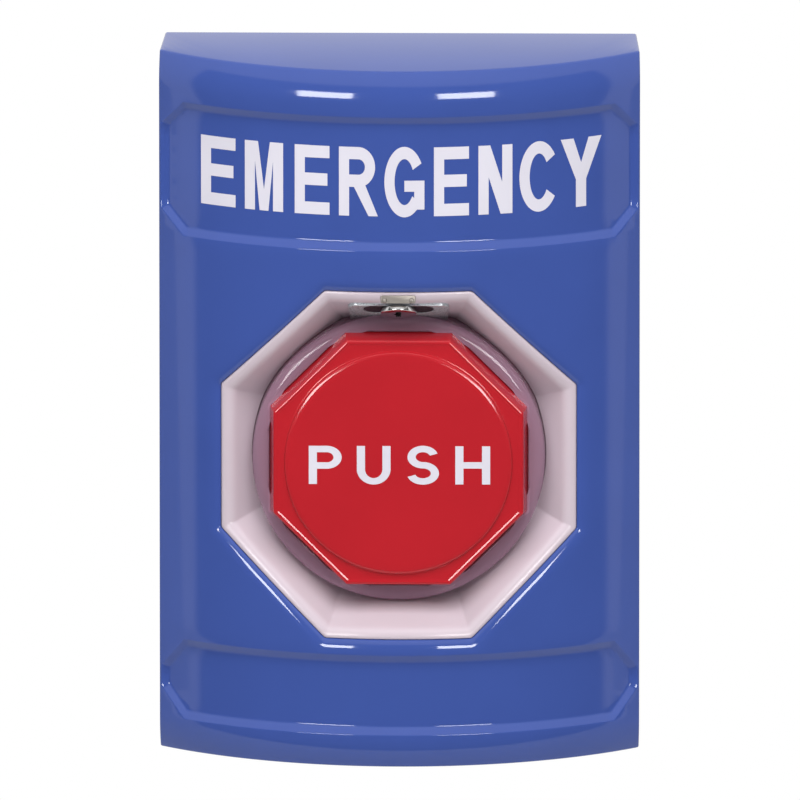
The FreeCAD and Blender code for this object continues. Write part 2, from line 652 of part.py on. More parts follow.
def terminal_places():
    """Side of the block, and middle in X and Z, of each terminal."""
    return [(way, x, OPENING_Z + way * TERMINAL_Z) for name, x in contact_places() for way in (-1, 1)]


def wire_slot(way, x, z):
    """Slot for a wire, from the clamp out through the block's end."""
    room = TERMINAL_CLAMP / 2 + FIT_GAP
    slot_back = BLOCK_BACK_Y - WIRE_SLOT_BACK
    ends = sorted([z - way * room, z + way * BLOCK_HEIGHT])
    return box(x - room, x + room, slot_back - WIRE_SLOT_HEIGHT, slot_back, ends[0], ends[1])


def contact_block(middle_x):
    """Moulded contact block with its plunger bore, wire slots and screw holes."""
    block = box(middle_x - BLOCK_WIDTH / 2, middle_x + BLOCK_WIDTH / 2, HOUSING_BACK_Y, BLOCK_BACK_Y,
                OPENING_Z - BLOCK_HEIGHT / 2, OPENING_Z + BLOCK_HEIGHT / 2)
    long_edges = [edge for edge in block.Edges if edge.BoundBox.YLength > BLOCK_LENGTH - 0.1]
    block = rounded(block, long_edges, BLOCK_ROUND)
    bore_radius = PLUNGER_RADIUS + RUNNING_GAP
    head_room = TERMINAL_HEAD_RADIUS + FIT_GAP
    hole_radius = TERMINAL_SCREW_RADIUS + RUNNING_GAP
    block_hole = BLOCK_SCREW_RADIUS + RUNNING_GAP
    block_hole_end = HOUSING_BACK_Y + BLOCK_SCREW_LENGTH
    block = block.cut(rod(bore_radius, HOUSING_BACK_Y - 1, PLUNGER_BORE_END_Y, middle_x, OPENING_Z))
    for way, x, z in terminal_places():
        if x != middle_x:
            continue
        screw_z = OPENING_Z + way * BLOCK_SCREW_Z
        block = block.cut(rod(head_room, BLOCK_BACK_Y - TERMINAL_SINK, BLOCK_BACK_Y + 1, x, z))
        block = block.cut(rod(hole_radius, BLOCK_BACK_Y - TERMINAL_DEPTH, BLOCK_BACK_Y, x, z))
        block = block.cut(wire_slot(way, x, z))
        block = block.cut(rod(block_hole, HOUSING_BACK_Y - 1, block_hole_end, x, screw_z))
    return block.removeSplitter()


def contact_plunger(x):
    """Round plunger with a bevelled tip, pushed into its block by the stem's foot."""
    plunger = rod(PLUNGER_RADIUS, PLUNGER_TIP_Y, PLUNGER_END_Y, x, OPENING_Z)
    tip = [edge for edge in plunger.Edges if edge.BoundBox.YMax < PLUNGER_TIP_Y + 0.01]
    return bevelled(plunger, tip, PLUNGER_RADIUS / 4)


def contact_spring(x):
    """Returns the plunger."""
    start = Vector(x, PLUNGER_END_Y + RUNNING_GAP, OPENING_Z)
    length = PLUNGER_BORE_END_Y - PLUNGER_END_Y - 2 * RUNNING_GAP
    return coil(CONTACT_COIL_RADIUS, CONTACT_WIRE, CONTACT_HALF_TURNS, start, Vector(0, 1, 0), length)


def terminal_screws():
    """Four slotted terminal screws in the backs of the contact blocks."""
    screws = []
    for way, x, z in terminal_places():
        seat = BLOCK_BACK_Y - TERMINAL_SINK
        shank = rod(TERMINAL_SCREW_RADIUS, BLOCK_BACK_Y - TERMINAL_DEPTH + 1, seat + OVERLAP / 2, x, z)
        head = rod(TERMINAL_HEAD_RADIUS, seat, seat + TERMINAL_HEAD_HEIGHT, x, z)
        screws.append(shank.fuse(driver_slot(head, x, z, seat + TERMINAL_HEAD_HEIGHT)).removeSplitter())
    return Part.makeCompound(screws)


def driver_slot(head, x, z, top):
    """Screw head with a driver's slot across its back face."""
    reach = BLOCK_WIDTH
    half = DRIVER_SLOT_WIDTH / 2
    return head.cut(box(x - reach, x + reach, top - DRIVER_SLOT_DEPTH, top + 1, z - half, z + half))


def terminal_clamps():
    """Four square wire clamps on the terminal screws."""
    clamps = []
    half = TERMINAL_CLAMP / 2
    slot_back = BLOCK_BACK_Y - WIRE_SLOT_BACK
    for way, x, z in terminal_places():
        clamp = box(x - half, x + half, slot_back - TERMINAL_CLAMP_THICK, slot_back, z - half, z + half)
        hole = rod(TERMINAL_SCREW_RADIUS + RUNNING_GAP, slot_back - 3, slot_back + 1, x, z)
        clamps.append(clamp.cut(hole))
    return Part.makeCompound(clamps)


def block_screws():
    """Four screws from inside the housing into the contact blocks."""
    screws = []
    for way, x, z in terminal_places():
        z = OPENING_Z + way * BLOCK_SCREW_Z
        tip = HOUSING_BACK_Y + BLOCK_SCREW_LENGTH - 1
        head = rod(BLOCK_SCREW_HEAD, HOUSING_FLOOR_Y - BLOCK_SCREW_HEAD_HEIGHT, HOUSING_FLOOR_Y, x, z)
        shank = rod(BLOCK_SCREW_RADIUS, HOUSING_FLOOR_Y - OVERLAP / 2, tip, x, z)
        screws.append(shank.fuse(head).removeSplitter())
    return Part.makeCompound(screws)


def lock_plate():
    """Bright plate lying on the top facet, with a long window for the lock's face."""
    half = LOCK_PLATE_WIDTH / 2
    start = LOCK_PLATE_START - LOCK_SEAT
    plate = box(-half, half, start, start + LOCK_PLATE_LENGTH, -LOCK_PLATE_THICK, 0)
    corners = [edge for edge in plate.Edges if edge.BoundBox.ZLength > LOCK_PLATE_THICK - 0.1]
    plate = rounded(plate, corners, LOCK_PLATE_ROUND)
    window_width = LOCK_FACE_WIDTH + 2 * RUNNING_GAP
    window_length = LOCK_FACE_LENGTH + 2 * RUNNING_GAP
    plate = plate.cut(slotted_bar(window_width, window_length, -LOCK_PLATE_THICK - 1, 1))
    return on_lock(plate).cut(rod(COLLAR_RADIUS + FIT_GAP, APEX_Y - 5, BEZEL_BACK_Y, 0, OPENING_Z))


def lock_barrel():
    """Dark lock body: a long face in the plate's window and a round barrel up through the boss."""
    barrel = slotted_bar(LOCK_FACE_WIDTH, LOCK_FACE_LENGTH, -LOCK_PLATE_THICK, 0)
    barrel = barrel.fuse(pin(BARREL_RADIUS, 0, BARREL_LENGTH))
    groove = pin(BARREL_RADIUS + 1, BOSS_LENGTH, BOSS_LENGTH + CLIP_THICK + RUNNING_GAP)
    groove = groove.cut(pin(BARREL_RADIUS - CLIP_GROOVE, 0, BARREL_LENGTH))
    barrel = barrel.cut(groove)
    barrel = barrel.cut(pin(PLUG_RADIUS + RUNNING_GAP, -2, BARREL_LENGTH + 1))
    return on_lock(barrel.removeSplitter())


def lock_plug():
    """Bright core with a key slot and a thin tail for the cam."""
    plug = pin(PLUG_RADIUS, -LOCK_PLATE_THICK - PLUG_PROUD, CAM_LOW)
    front = [edge for edge in plug.Edges if edge.BoundBox.ZMax < 0]
    plug = bevelled(plug, front, PLUG_PROUD * 0.8)
    plug = plug.fuse(pin(TAIL_RADIUS, CAM_LOW - 1, CAM_HIGH))
    keyway = Part.makeBox(KEYWAY_WIDTH, KEYWAY_LENGTH, KEYWAY_DEPTH + 2,
                          Vector(-KEYWAY_WIDTH / 2, -KEYWAY_LENGTH / 2, -2))
    plug = plug.cut(keyway)
    plug = plug.cut(pin(CAM_SCREW_RADIUS + RUNNING_GAP, CAM_HIGH - CAM_SCREW_LENGTH, CAM_HIGH + 1))
    return on_lock(plug.removeSplitter())


def lock_clip():
    """Open spring clip in the barrel's groove, on the end of the boss."""
    clip = pin(BARREL_RADIUS + CLIP_WIDTH, BOSS_LENGTH, BOSS_LENGTH + CLIP_THICK)
    clip = clip.cut(pin(BARREL_RADIUS - CLIP_GROOVE + RUNNING_GAP, BOSS_LENGTH - 1, BOSS_LENGTH + 2))
    mouth = box(-CLIP_MOUTH / 2, CLIP_MOUTH / 2, 0, 2 * BARREL_RADIUS, BOSS_LENGTH - 1, BOSS_LENGTH + 2)
    return on_lock(clip.cut(mouth))


def lock_cam():
    """Off-centre disc on the plug's tail, which turns in the latch slide's yoke."""
    cam = Part.makeCylinder(CAM_RADIUS, CAM_THICK, Vector(0, CAM_OFFSET, CAM_LOW))
    return on_lock(cam.cut(pin(TAIL_RADIUS + RUNNING_GAP, CAM_LOW - 1, CAM_HIGH + 1)))


def cam_screw():
    """Small screw that holds the cam on the plug's tail."""
    screw = pin(CAM_SCREW_RADIUS, CAM_HIGH - CAM_SCREW_LENGTH + OVERLAP, CAM_HIGH + OVERLAP / 2)
    screw = screw.fuse(pin(CAM_SCREW_HEAD, CAM_HIGH, CAM_HIGH + CAM_SCREW_HEAD_HEIGHT))
    half = CAM_SCREW_SLOT / 2
    slot_low = CAM_HIGH + CAM_SCREW_HEAD_HEIGHT - CAM_SCREW_SLOT
    slot = box(-CAM_SCREW_HEAD, CAM_SCREW_HEAD, -half, half, slot_low, slot_low + 1)
    return on_lock(screw.cut(slot).removeSplitter())


def latch_slide():
    """Bent plate: a yoke round the cam, and a tongue down through the housing's window."""
    seat, axis, down = lock_frame()
    middle = (CAM_LOW + CAM_HIGH) / 2
    yoke_y = seat.y + axis.y * middle
    reach = (LATCH_BACK_Y - yoke_y) / down.y
    half_window = CAM_RADIUS + LATCH_PLAY
    front = half_window + LATCH_YOKE_WALL
    yoke = box(-LATCH_WIDTH / 2, LATCH_WIDTH / 2, -front, reach, CAM_LOW, CAM_HIGH)
    window_end = CAM_OFFSET + half_window
    window = box(-half_window, half_window, -half_window, window_end, CAM_LOW - 1, CAM_HIGH + 1)
    yoke = on_lock(yoke.cut(window))
    top = seat.z + axis.z * middle + down.z * reach
    tongue = box(-LATCH_WIDTH / 2, LATCH_WIDTH / 2, LATCH_FRONT_Y, LATCH_BACK_Y,
                 OPENING_Z + CAP_FLANGE_RADIUS + LATCH_TIP_GAP, top + LATCH_THICK / 2)
    slide = yoke.fuse(tongue)
    return slide.cut(box(-BIG / 2, BIG / 2, LATCH_BACK_Y, BIG / 2, -BIG / 2, BIG / 2)).removeSplitter()


def latch_spring():
    """Small spring between the housing's post and the latch slide's edge."""
    middle_y = (LATCH_FRONT_Y + LATCH_BACK_Y) / 2
    start = Vector(-LATCH_WIDTH / 2 - LATCH_SPRING_ROOM + RUNNING_GAP, middle_y, LATCH_SPRING_Z)
    length = LATCH_SPRING_ROOM - 2 * RUNNING_GAP
    return coil(LATCH_COIL_RADIUS, LATCH_WIRE, LATCH_HALF_TURNS, start, Vector(1, 0, 0), length)


def back_plate():
    """Metal plate on the wall box, with a window for the contact blocks and two bent flanges."""
    plate = box(-PLATE_HALF_WIDTH, PLATE_HALF_WIDTH, -PLATE_THICK, 0, -PLATE_HALF_HEIGHT, PLATE_HALF_HEIGHT)
    corners = [edge for edge in plate.Edges if edge.BoundBox.YLength > PLATE_THICK - 0.1]
    plate = rounded(plate, corners, PLATE_ROUND)
    window = box(-PLATE_WINDOW_WIDTH / 2, PLATE_WINDOW_WIDTH / 2, -PLATE_THICK - 1, 1,
                 OPENING_Z - PLATE_WINDOW_HEIGHT / 2, OPENING_Z + PLATE_WINDOW_HEIGHT / 2)
    window_corners = [edge for edge in window.Edges if edge.BoundBox.YLength > PLATE_THICK + 0.1]
    plate = plate.cut(rounded(window, window_corners, PLATE_ROUND))
    for way, width in ((-1, PLATE_FLANGE_WIDTH), (1, PLATE_HOOK_WIDTH)):
        ends = sorted([way * PLATE_HALF_HEIGHT, way * (PLATE_HALF_HEIGHT - PLATE_THICK)])
        plate = plate.fuse(box(-width / 2, width / 2, -PLATE_FLANGE_DEPTH, 0, ends[0], ends[1]))
        plate = plate.cut(rod(BOX_HOLE_RADIUS, -PLATE_THICK - 1, 1, 0, way * BOX_HOLE_SPACING / 2))
    for side in (-1, 1):
        plate = plate.cut(post(COVER_SCREW_RADIUS + RUNNING_GAP, -PLATE_HALF_HEIGHT - 1,
                               -PLATE_HALF_HEIGHT + PLATE_THICK + 1, side * COVER_SCREW_OFFSET))
    return plate.removeSplitter()


def cover_screws():
    """Two countersunk screws up through the cover's bottom wall into the back plate's flange."""
    screws = []
    bottom = -COVER_HEIGHT / 2
    for side in (-1, 1):
        x = side * COVER_SCREW_OFFSET
        head_top = bottom + COVER_SCREW_HEAD_HEIGHT + FIT_GAP
        head = post(COVER_SCREW_HEAD_RADIUS, bottom + FIT_GAP, head_top, x)
        half = DRIVER_SLOT_WIDTH / 2
        slot = box(x - COVER_SCREW_HEAD_RADIUS, x + COVER_SCREW_HEAD_RADIUS, -COVER_SCREW_DEPTH - half,
                   -COVER_SCREW_DEPTH + half, bottom, bottom + FIT_GAP + OVERLAP)
        shank = post(COVER_SCREW_RADIUS, head_top - OVERLAP / 2, bottom + COVER_SCREW_LENGTH, x)
        screws.append(head.cut(slot).fuse(shank).removeSplitter())
    return Part.makeCompound(screws)


def main():
    """Builds every piece and writes it to its own file."""
    os.makedirs("parts", exist_ok=True)
    pieces = {
        "front_cover": front_cover(),
        "octagon_bezel": octagon_bezel(),
        "clear_collar": clear_collar(),
        "button_cap": button_cap(),
        "plunger_stem": plunger_stem(),
        "return_spring": return_spring(),
        "mechanism_housing": mechanism_housing(),
        "housing_screws": housing_screws(),
        "block_screws": block_screws(),
        "terminal_screws": terminal_screws(),
        "terminal_clamps": terminal_clamps(),
        "lock_plate": lock_plate(),
        "lock_barrel": lock_barrel(),
        "lock_plug": lock_plug(),
        "lock_clip": lock_clip(),
        "lock_cam": lock_cam(),
        "cam_screw": cam_screw(),
        "latch_slide": latch_slide(),
        "latch_spring": latch_spring(),
        "back_plate": back_plate(),
        "cover_screws": cover_screws(),
    }
    for side, x in contact_places():
        pieces["contact_block_" + side] = contact_block(x)
        pieces["contact_plunger_" + side] = contact_plunger(x)
        pieces["contact_spring_" + side] = contact_spring(x)
    for name, shape in pieces.items():
        shape.exportStep("parts/" + name + ".step")
        print(name, round(shape.Volume, 1), "mm3,", len(shape.Solids), "solids, valid", shape.isValid())


main()
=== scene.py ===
"""Wall-mounted panic button station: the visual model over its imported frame.

Sizes are in millimetres and become metres where a mesh is made. The origin is on the wall behind the
middle of the cover: +Z up, +X to the right and the front towards -Y.
"""
import logging
import math
from dataclasses import dataclass, field
from enum import Enum
from typing import Callable, Iterable, Sequence

import bmesh
import bpy
from mathutils import Matrix, Vector
from mathutils.geometry import delaunay_2d_cdt


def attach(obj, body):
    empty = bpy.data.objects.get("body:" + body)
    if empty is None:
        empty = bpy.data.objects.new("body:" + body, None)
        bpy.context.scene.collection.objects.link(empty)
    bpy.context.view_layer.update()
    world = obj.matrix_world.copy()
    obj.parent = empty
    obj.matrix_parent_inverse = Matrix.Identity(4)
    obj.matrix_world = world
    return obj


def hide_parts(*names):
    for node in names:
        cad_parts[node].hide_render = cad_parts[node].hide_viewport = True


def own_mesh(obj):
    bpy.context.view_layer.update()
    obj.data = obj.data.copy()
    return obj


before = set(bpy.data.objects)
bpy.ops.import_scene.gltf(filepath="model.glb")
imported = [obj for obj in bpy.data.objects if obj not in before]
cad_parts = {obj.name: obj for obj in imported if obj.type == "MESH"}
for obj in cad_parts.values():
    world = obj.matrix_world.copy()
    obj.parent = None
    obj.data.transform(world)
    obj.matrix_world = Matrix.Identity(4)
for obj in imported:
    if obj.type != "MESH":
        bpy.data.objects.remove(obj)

LOG = logging.getLogger("panic_button")
MM = 0.001
Point = tuple[float, float]
Colour = tuple[float, float, float]
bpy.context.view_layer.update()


# Shared sizes

@dataclass(frozen=True)
class Station:
    """Sizes that more than one piece follows."""

    width: float = 82.5
    height: float = 123.0
    side_depth: float = 15.5
    bulge: float = 16.0
    wall: float = 2.5
    lean: float = 0.8
    opening_flats: float = 61.0
    opening_z: float = -7.9
    collar_radius: float = 25.15
    collar_gap: float = 0.12
    rim_flats: float = 57.8
    floor_flats: float = 46.8
    bezel_sink: float = 0.6
    bezel_floor_y: float = -18.5
    bezel_back_y: float = -16.5

    @property
    def radius(self) -> float:
        """Radius of the bowed front."""
        return (self.width / 2) ** 2 / (2 * self.bulge) + self.bulge / 2

    @property
    def apex_y(self) -> float:
        """Y of the front's most forward line."""
        return -(self.side_depth + self.bulge)

    @property
    def axis_y(self) -> float:
        """Y of the bow's own axis."""
        return self.apex_y + self.radius

    def skin_y(self, x: float, sunk: float = 0.0) -> float:
        """Y of the bowed skin at x, sunk by a radial depth."""
        return self.axis_y - math.sqrt((self.radius - sunk) ** 2 - x * x)


STATION = Station()


class Body(str, Enum):
    """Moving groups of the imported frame."""

    STATION = "station"
    BUTTON = "button"
    CONTACT_LEFT = "contact_left"
    CONTACT_RIGHT = "contact_right"
    LOCK = "lock_core"
    LATCH = "latch"


# Mesh helpers

def linear(colour: Colour) -> tuple[float, float, float, float]:
    """Turns a display colour of 0 to 255 into the linear one that a shader takes.

    Args:
        colour: red, green and blue from 0 to 255.

    Returns:
        Red, green, blue and a full alpha.
    """
    def channel(value: float) -> float:
        share = value / 255
        return share / 12.92 if share <= 0.04045 else ((share + 0.055) / 1.055) ** 2.4

    return (*(channel(value) for value in colour), 1.0)


def mesh_object(name: str, points: Sequence[Vector], faces: Sequence[Sequence[int]],
                sharp: float = 32.0, recalculate: bool = True) -> bpy.types.Object:
    """Makes an object from points in millimetres.

    Args:
        name: the piece's name.
        points: corners in millimetres, in the frame's axes.
        faces: corner numbers of each face.
        sharp: angle in degrees past which an edge stays sharp.
        recalculate: whether normals are turned outwards after doubles are merged.

    Returns:
        The linked object, at the origin.
    """
    mesh = bpy.data.meshes.new(name)
    mesh.from_pydata([tuple(p * MM for p in point) for point in points], [], [tuple(f) for f in faces])
    if recalculate:
        work = bmesh.new()
        work.from_mesh(mesh)
        bmesh.ops.remove_doubles(work, verts=work.verts, dist=2e-7)
        bmesh.ops.recalc_face_normals(work, faces=work.faces)
        work.to_mesh(mesh)
        work.free()
    mesh.validate()
    smooth(mesh, sharp)
    made = bpy.data.objects.new(name, mesh)
    bpy.context.scene.collection.objects.link(made)
    return made


def smooth(mesh: bpy.types.Mesh, sharp: float) -> None:
    """Shades a mesh smoothly, apart from edges past an angle in degrees."""
    mesh.polygons.foreach_set("use_smooth", [True] * len(mesh.polygons))
    mesh.set_sharp_from_angle(angle=math.radians(sharp))


def join_loops(loops: Sequence[Sequence[Vector]], ring: bool = False,
               ends: bool = True) -> tuple[list[Vector], list[list[int]]]:
    """Joins loops of equal length into a skin.

    Args:
        loops: closed loops in order.
        ring: whether the last loop joins the first.
        ends: whether the first and last loops are closed by a face, where it is no ring.

    Returns:
        Points and faces.
    """
    count = len(loops[0])
    points = [Vector(point) for loop in loops for point in loop]
    faces: list[list[int]] = []
    spans = len(loops) if ring else len(loops) - 1
    for row in range(spans):
        here = row * count
        there = (row + 1) % len(loops) * count
        for number in range(count):
            after = (number + 1) % count
            faces.append([here + number, here + after, there + after, there + number])
    if ends and not ring:
        faces.append(list(range(count)))
        faces.append([(len(loops) - 1) * count + number for number in range(count)])
    return points, faces


def merged(*parts: tuple[Sequence[Vector], Sequence[Sequence[int]]]) -> tuple[list[Vector], list[list[int]]]:
    """Puts several sets of points and faces together."""
    points: list[Vector] = []
    faces: list[list[int]] = []
    for some_points, some_faces in parts:
        start = len(points)
        points.extend(some_points)
        faces.extend([start + number for number in face] for face in some_faces)
    return points, faces


def moved(part: tuple[Sequence[Vector], Sequence[Sequence[int]]],
          matrix: Matrix) -> tuple[list[Vector], list[list[int]]]:
    """Moves points by a matrix in millimetres."""
    return [matrix @ point for point in part[0]], [list(face) for face in part[1]]


def turned(profile: Sequence[Point], steps: int = 48) -> tuple[list[Vector], list[list[int]]]:
    """Turns a profile of radius and height about Z; a first and last radius of 0 close it."""
    loops = []
    for radius, height in profile:
        reach = max(radius, 1e-4)
        loops.append([Vector((reach * math.cos(2 * math.pi * n / steps),
                              reach * math.sin(2 * math.pi * n / steps), height)) for n in range(steps)])
    return join_loops(loops)


def along_y(x: float, z: float) -> Matrix:
    """Places a shape made along +Z so that it runs along +Y through x and z."""
    turn = Matrix(((1, 0, 0, 0), (0, 0, 1, 0), (0, -1, 0, 0), (0, 0, 0, 1)))
    return Matrix.Translation((x, 0, z)) @ turn


def holds(loop: Sequence[Point], x: float, y: float) -> bool:
    """Whether a closed loop holds a point."""
    inside = False
    for (ax, ay), (bx, by) in zip(loop, [*loop[1:], loop[0]]):
        if (ay > y) != (by > y) and x < (bx - ax) * (y - ay) / (by - ay) + ax:
            inside = not inside
    return inside


def patch(outer: Sequence[Point], holes: Sequence[Sequence[Point]], lift: Callable[[float, float], Vector],
          loops: Sequence[Sequence[Point]] = (), lines: Sequence[Sequence[Point]] = (),
          loose: Sequence[Point] = ()) -> tuple[list[Vector], list[list[int]]]:
    """Fills a convex outline with triangles that keep every given line, and lifts it into space.

    Args:
        outer: the closed outline.
        holes: closed loops that stay open.
        lift: gives the place in space of a point of the flat drawing.
        loops: closed loops that triangles may not cross.
        lines: open lines that triangles may not cross.
        loose: further single points.

    Returns:
        Points in space and triangles.
    """
    drawn: list[Vector] = []
    edges: list[tuple[int, int]] = []
    for line, closed in ([(outer, True)] + [(hole, True) for hole in holes] + [(loop, True) for loop in loops]
                         + [(line, False) for line in lines]):
        start = len(drawn)
        drawn.extend(Vector(point) for point in line)
        edges.extend((start + n, start + n + 1) for n in range(len(line) - 1))
        if closed:
            edges.append((start + len(line) - 1, start))
    drawn.extend(Vector(point) for point in loose)
    flat, _, faces, *_ = delaunay_2d_cdt(drawn, edges, [], 0, 1e-5)
    kept = []
    for face in faces:
        x = sum(flat[n].x for n in face) / len(face)
        y = sum(flat[n].y for n in face) / len(face)
        if holds(outer, x, y) and not any(holds(hole, x, y) for hole in holes):
            kept.append(list(face))
    return [lift(point.x, point.y) for point in flat], kept


def circle(radius: float, x: float = 0.0, y: float = 0.0, steps: int = 40) -> list[Point]:
    """Closed circle of points."""
    return [(x + radius * math.cos(2 * math.pi * n / steps), y + radius * math.sin(2 * math.pi * n / steps))
            for n in range(steps)]


def rounded_box(half_x: float, low: float, high: float, rounding: float, steps: int = 6) -> list[Point]:
    """Closed rectangle with rounded corners, from -half_x to half_x and from low to high."""
    loop = []
    for quarter, (x, y) in enumerate(((half_x - rounding, high - rounding), (rounding - half_x, high - rounding),
                                      (rounding - half_x, low + rounding), (half_x - rounding, low + rounding))):
        for n in range(steps + 1):
            angle = math.pi / 2 * (quarter + n / steps)
            loop.append((x + rounding * math.cos(angle), y + rounding * math.sin(angle)))
    return loop


def octagon(flats: float, rounding: float, corner_steps: int = 5, flat_steps: int = 14) -> list[Point]:
    """Closed octagon with rounded corners, always with the same number of points.

    Args:
        flats: distance across the flats.
        rounding: radius of the corners.
        corner_steps: steps round each corner.
        flat_steps: steps along each flat.

    Returns:
        Points about the middle, flats square to the axes.
    """
    inner = flats / 2 - rounding
    reach = inner / math.cos(math.pi / 8)
    loop: list[Point] = []
    for number in range(8):
        middle = math.pi / 8 + number * math.pi / 4
        centre = (reach * math.cos(middle), reach * math.sin(middle))
        for n in range(corner_steps + 1):
            angle = middle - math.pi / 8 + math.pi / 4 * n / corner_steps
            loop.append((centre[0] + rounding * math.cos(angle), centre[1] + rounding * math.sin(angle)))
        after = middle + math.pi / 4
        end = (reach * math.cos(after) + rounding * math.cos(after - math.pi / 8),
               reach * math.sin(after) + rounding * math.sin(after - math.pi / 8))
        start = loop[-1]
        for n in range(1, flat_steps):
            share = n / flat_steps
            loop.append((start[0] + (end[0] - start[0]) * share, start[1] + (end[1] - start[1]) * share))
    return loop


def round_like(loop: Sequence[Point], radius: float) -> list[Point]:
    """Circle whose points stand at the same angles as those of a loop."""
    return [(x / math.hypot(x, z) * radius, z / math.hypot(x, z) * radius) for x, z in loop]


def in_opening(loop: Sequence[Point], depth: float | Callable[[float], float]) -> list[Vector]:
    """Places a loop about the opening's middle at a Y, or at a Y that follows x."""
    return [Vector((x, depth(x) if callable(depth) else depth, STATION.opening_z + z)) for x, z in loop]


def cut(target: bpy.types.Object, cutters: Iterable[bpy.types.Object], sharp: float = 32.0) -> None:
    """Cuts closed shapes out of an object, removes them and shades the result."""
    for cutter in cutters:
        step = target.modifiers.new("cut", "BOOLEAN")
        step.operation = "DIFFERENCE"
        step.solver = "EXACT"
        step.object = cutter
        bake(target)
        bpy.data.objects.remove(cutter)
    smooth(target.data, sharp)


def bake(target: bpy.types.Object) -> None:
    """Turns an object's modifiers into its plain mesh."""
    bpy.context.view_layer.update()
    graph = bpy.context.evaluated_depsgraph_get()
    result = bpy.data.meshes.new_from_object(target.evaluated_get(graph), depsgraph=graph)
    target.modifiers.clear()
    target.data = result


# Finishes

class Grain(Enum):
    """How the fine bump of a surface runs."""

    EVEN = "even"
    DRAWN = "drawn"


def group_socket(tree: bpy.types.NodeTree, name: str, way: str, kind: str, value: float | None = None) -> None:
    """Adds a named socket to a node group."""
    made = tree.interface.new_socket(name=name, in_out=way, socket_type=kind)
    if value is not None:
        made.default_value = value


def surface_group(grain: Grain) -> bpy.types.NodeTree:
    """Builds the shared group that varies colour, roughness and height over a surface.

    Args:
        grain: whether the bump is even in all directions or drawn out along X.

    Returns:
        The node group, made once for each grain.
    """
    name = "surface_" + grain.value
    if name in bpy.data.node_groups:
        return bpy.data.node_groups[name]
    tree = bpy.data.node_groups.new(name, "ShaderNodeTree")
    group_socket(tree, "Vector", "INPUT", "NodeSocketVector")
    group_socket(tree, "Colour", "INPUT", "NodeSocketColor")
    group_socket(tree, "Cloud Shade", "INPUT", "NodeSocketFloat", 0.06)
    group_socket(tree, "Cloud Size", "INPUT", "NodeSocketFloat", 60.0)
    group_socket(tree, "Roughness", "INPUT", "NodeSocketFloat", 0.2)
    group_socket(tree, "Roughness Spread", "INPUT", "NodeSocketFloat", 0.06)
    group_socket(tree, "Grain Size", "INPUT", "NodeSocketFloat", 2500.0)
    group_socket(tree, "Wave Share", "INPUT", "NodeSocketFloat", 0.5)
    group_socket(tree, "Colour", "OUTPUT", "NodeSocketColor")
    group_socket(tree, "Roughness", "OUTPUT", "NodeSocketFloat")
    group_socket(tree, "Height", "OUTPUT", "NodeSocketFloat")
    nodes, links = tree.nodes, tree.links
    entry = nodes.new("NodeGroupInput")
    leave = nodes.new("NodeGroupOutput")

    def noise(size: str | float, detail: float, vector: bpy.types.NodeSocket) -> bpy.types.NodeSocket:
        made = nodes.new("ShaderNodeTexNoise")
        made.inputs["Detail"].default_value = detail
        if isinstance(size, str):
            links.new(entry.outputs[size], made.inputs["Scale"])
        else:
            made.inputs["Scale"].default_value = size
        links.new(vector, made.inputs["Vector"])
        return made.outputs["Fac"]

    def spread(value: bpy.types.NodeSocket, low: float, high: float) -> bpy.types.NodeSocket:
        made = nodes.new("ShaderNodeMapRange")
        made.inputs["From Min"].default_value = 0.3
        made.inputs["From Max"].default_value = 0.7
        made.inputs["To Min"].default_value = low
        made.inputs["To Max"].default_value = high
        links.new(value, made.inputs["Value"])
        return made.outputs["Result"]

    def math_node(kind: str, first: bpy.types.NodeSocket, second: bpy.types.NodeSocket | float,
                  third: bpy.types.NodeSocket | float | None = None) -> bpy.types.NodeSocket:
        made = nodes.new("ShaderNodeMath")
        made.operation = kind
        for number, value in enumerate((first, second, third)):
            if isinstance(value, bpy.types.NodeSocket):
                links.new(value, made.inputs[number])
            elif value is not None:
                made.inputs[number].default_value = value
        return made.outputs[0]

    place = entry.outputs["Vector"]
    fine_place = place
    if grain is Grain.DRAWN:
        stretch = nodes.new("ShaderNodeMapping")
        stretch.inputs["Scale"].default_value = (0.04, 1.0, 1.0)
        links.new(place, stretch.inputs["Vector"])
        fine_place = stretch.outputs["Vector"]
    clouds = spread(noise("Cloud Size", 3.0, place), -1.0, 1.0)
    shade = math_node("MULTIPLY_ADD", clouds, entry.outputs["Cloud Shade"], 1.0)
    tint = nodes.new("ShaderNodeMix")
    tint.data_type = "RGBA"
    tint.blend_type = "MULTIPLY"
    tint.inputs["Factor"].default_value = 1.0
    links.new(entry.outputs["Colour"], tint.inputs["A"])
    links.new(shade, tint.inputs["B"])
    links.new(tint.outputs["Result"], leave.inputs["Colour"])
    rough = spread(noise("Grain Size", 2.0, fine_place), -1.0, 1.0)
    links.new(math_node("MULTIPLY_ADD", rough, entry.outputs["Roughness Spread"], entry.outputs["Roughness"]),
              leave.inputs["Roughness"])
    fine = noise("Grain Size", 4.0, fine_place)
    wave = noise(45.0, 1.0, place)
    links.new(math_node("MULTIPLY_ADD", wave, entry.outputs["Wave Share"], fine), leave.inputs["Height"])
    return tree


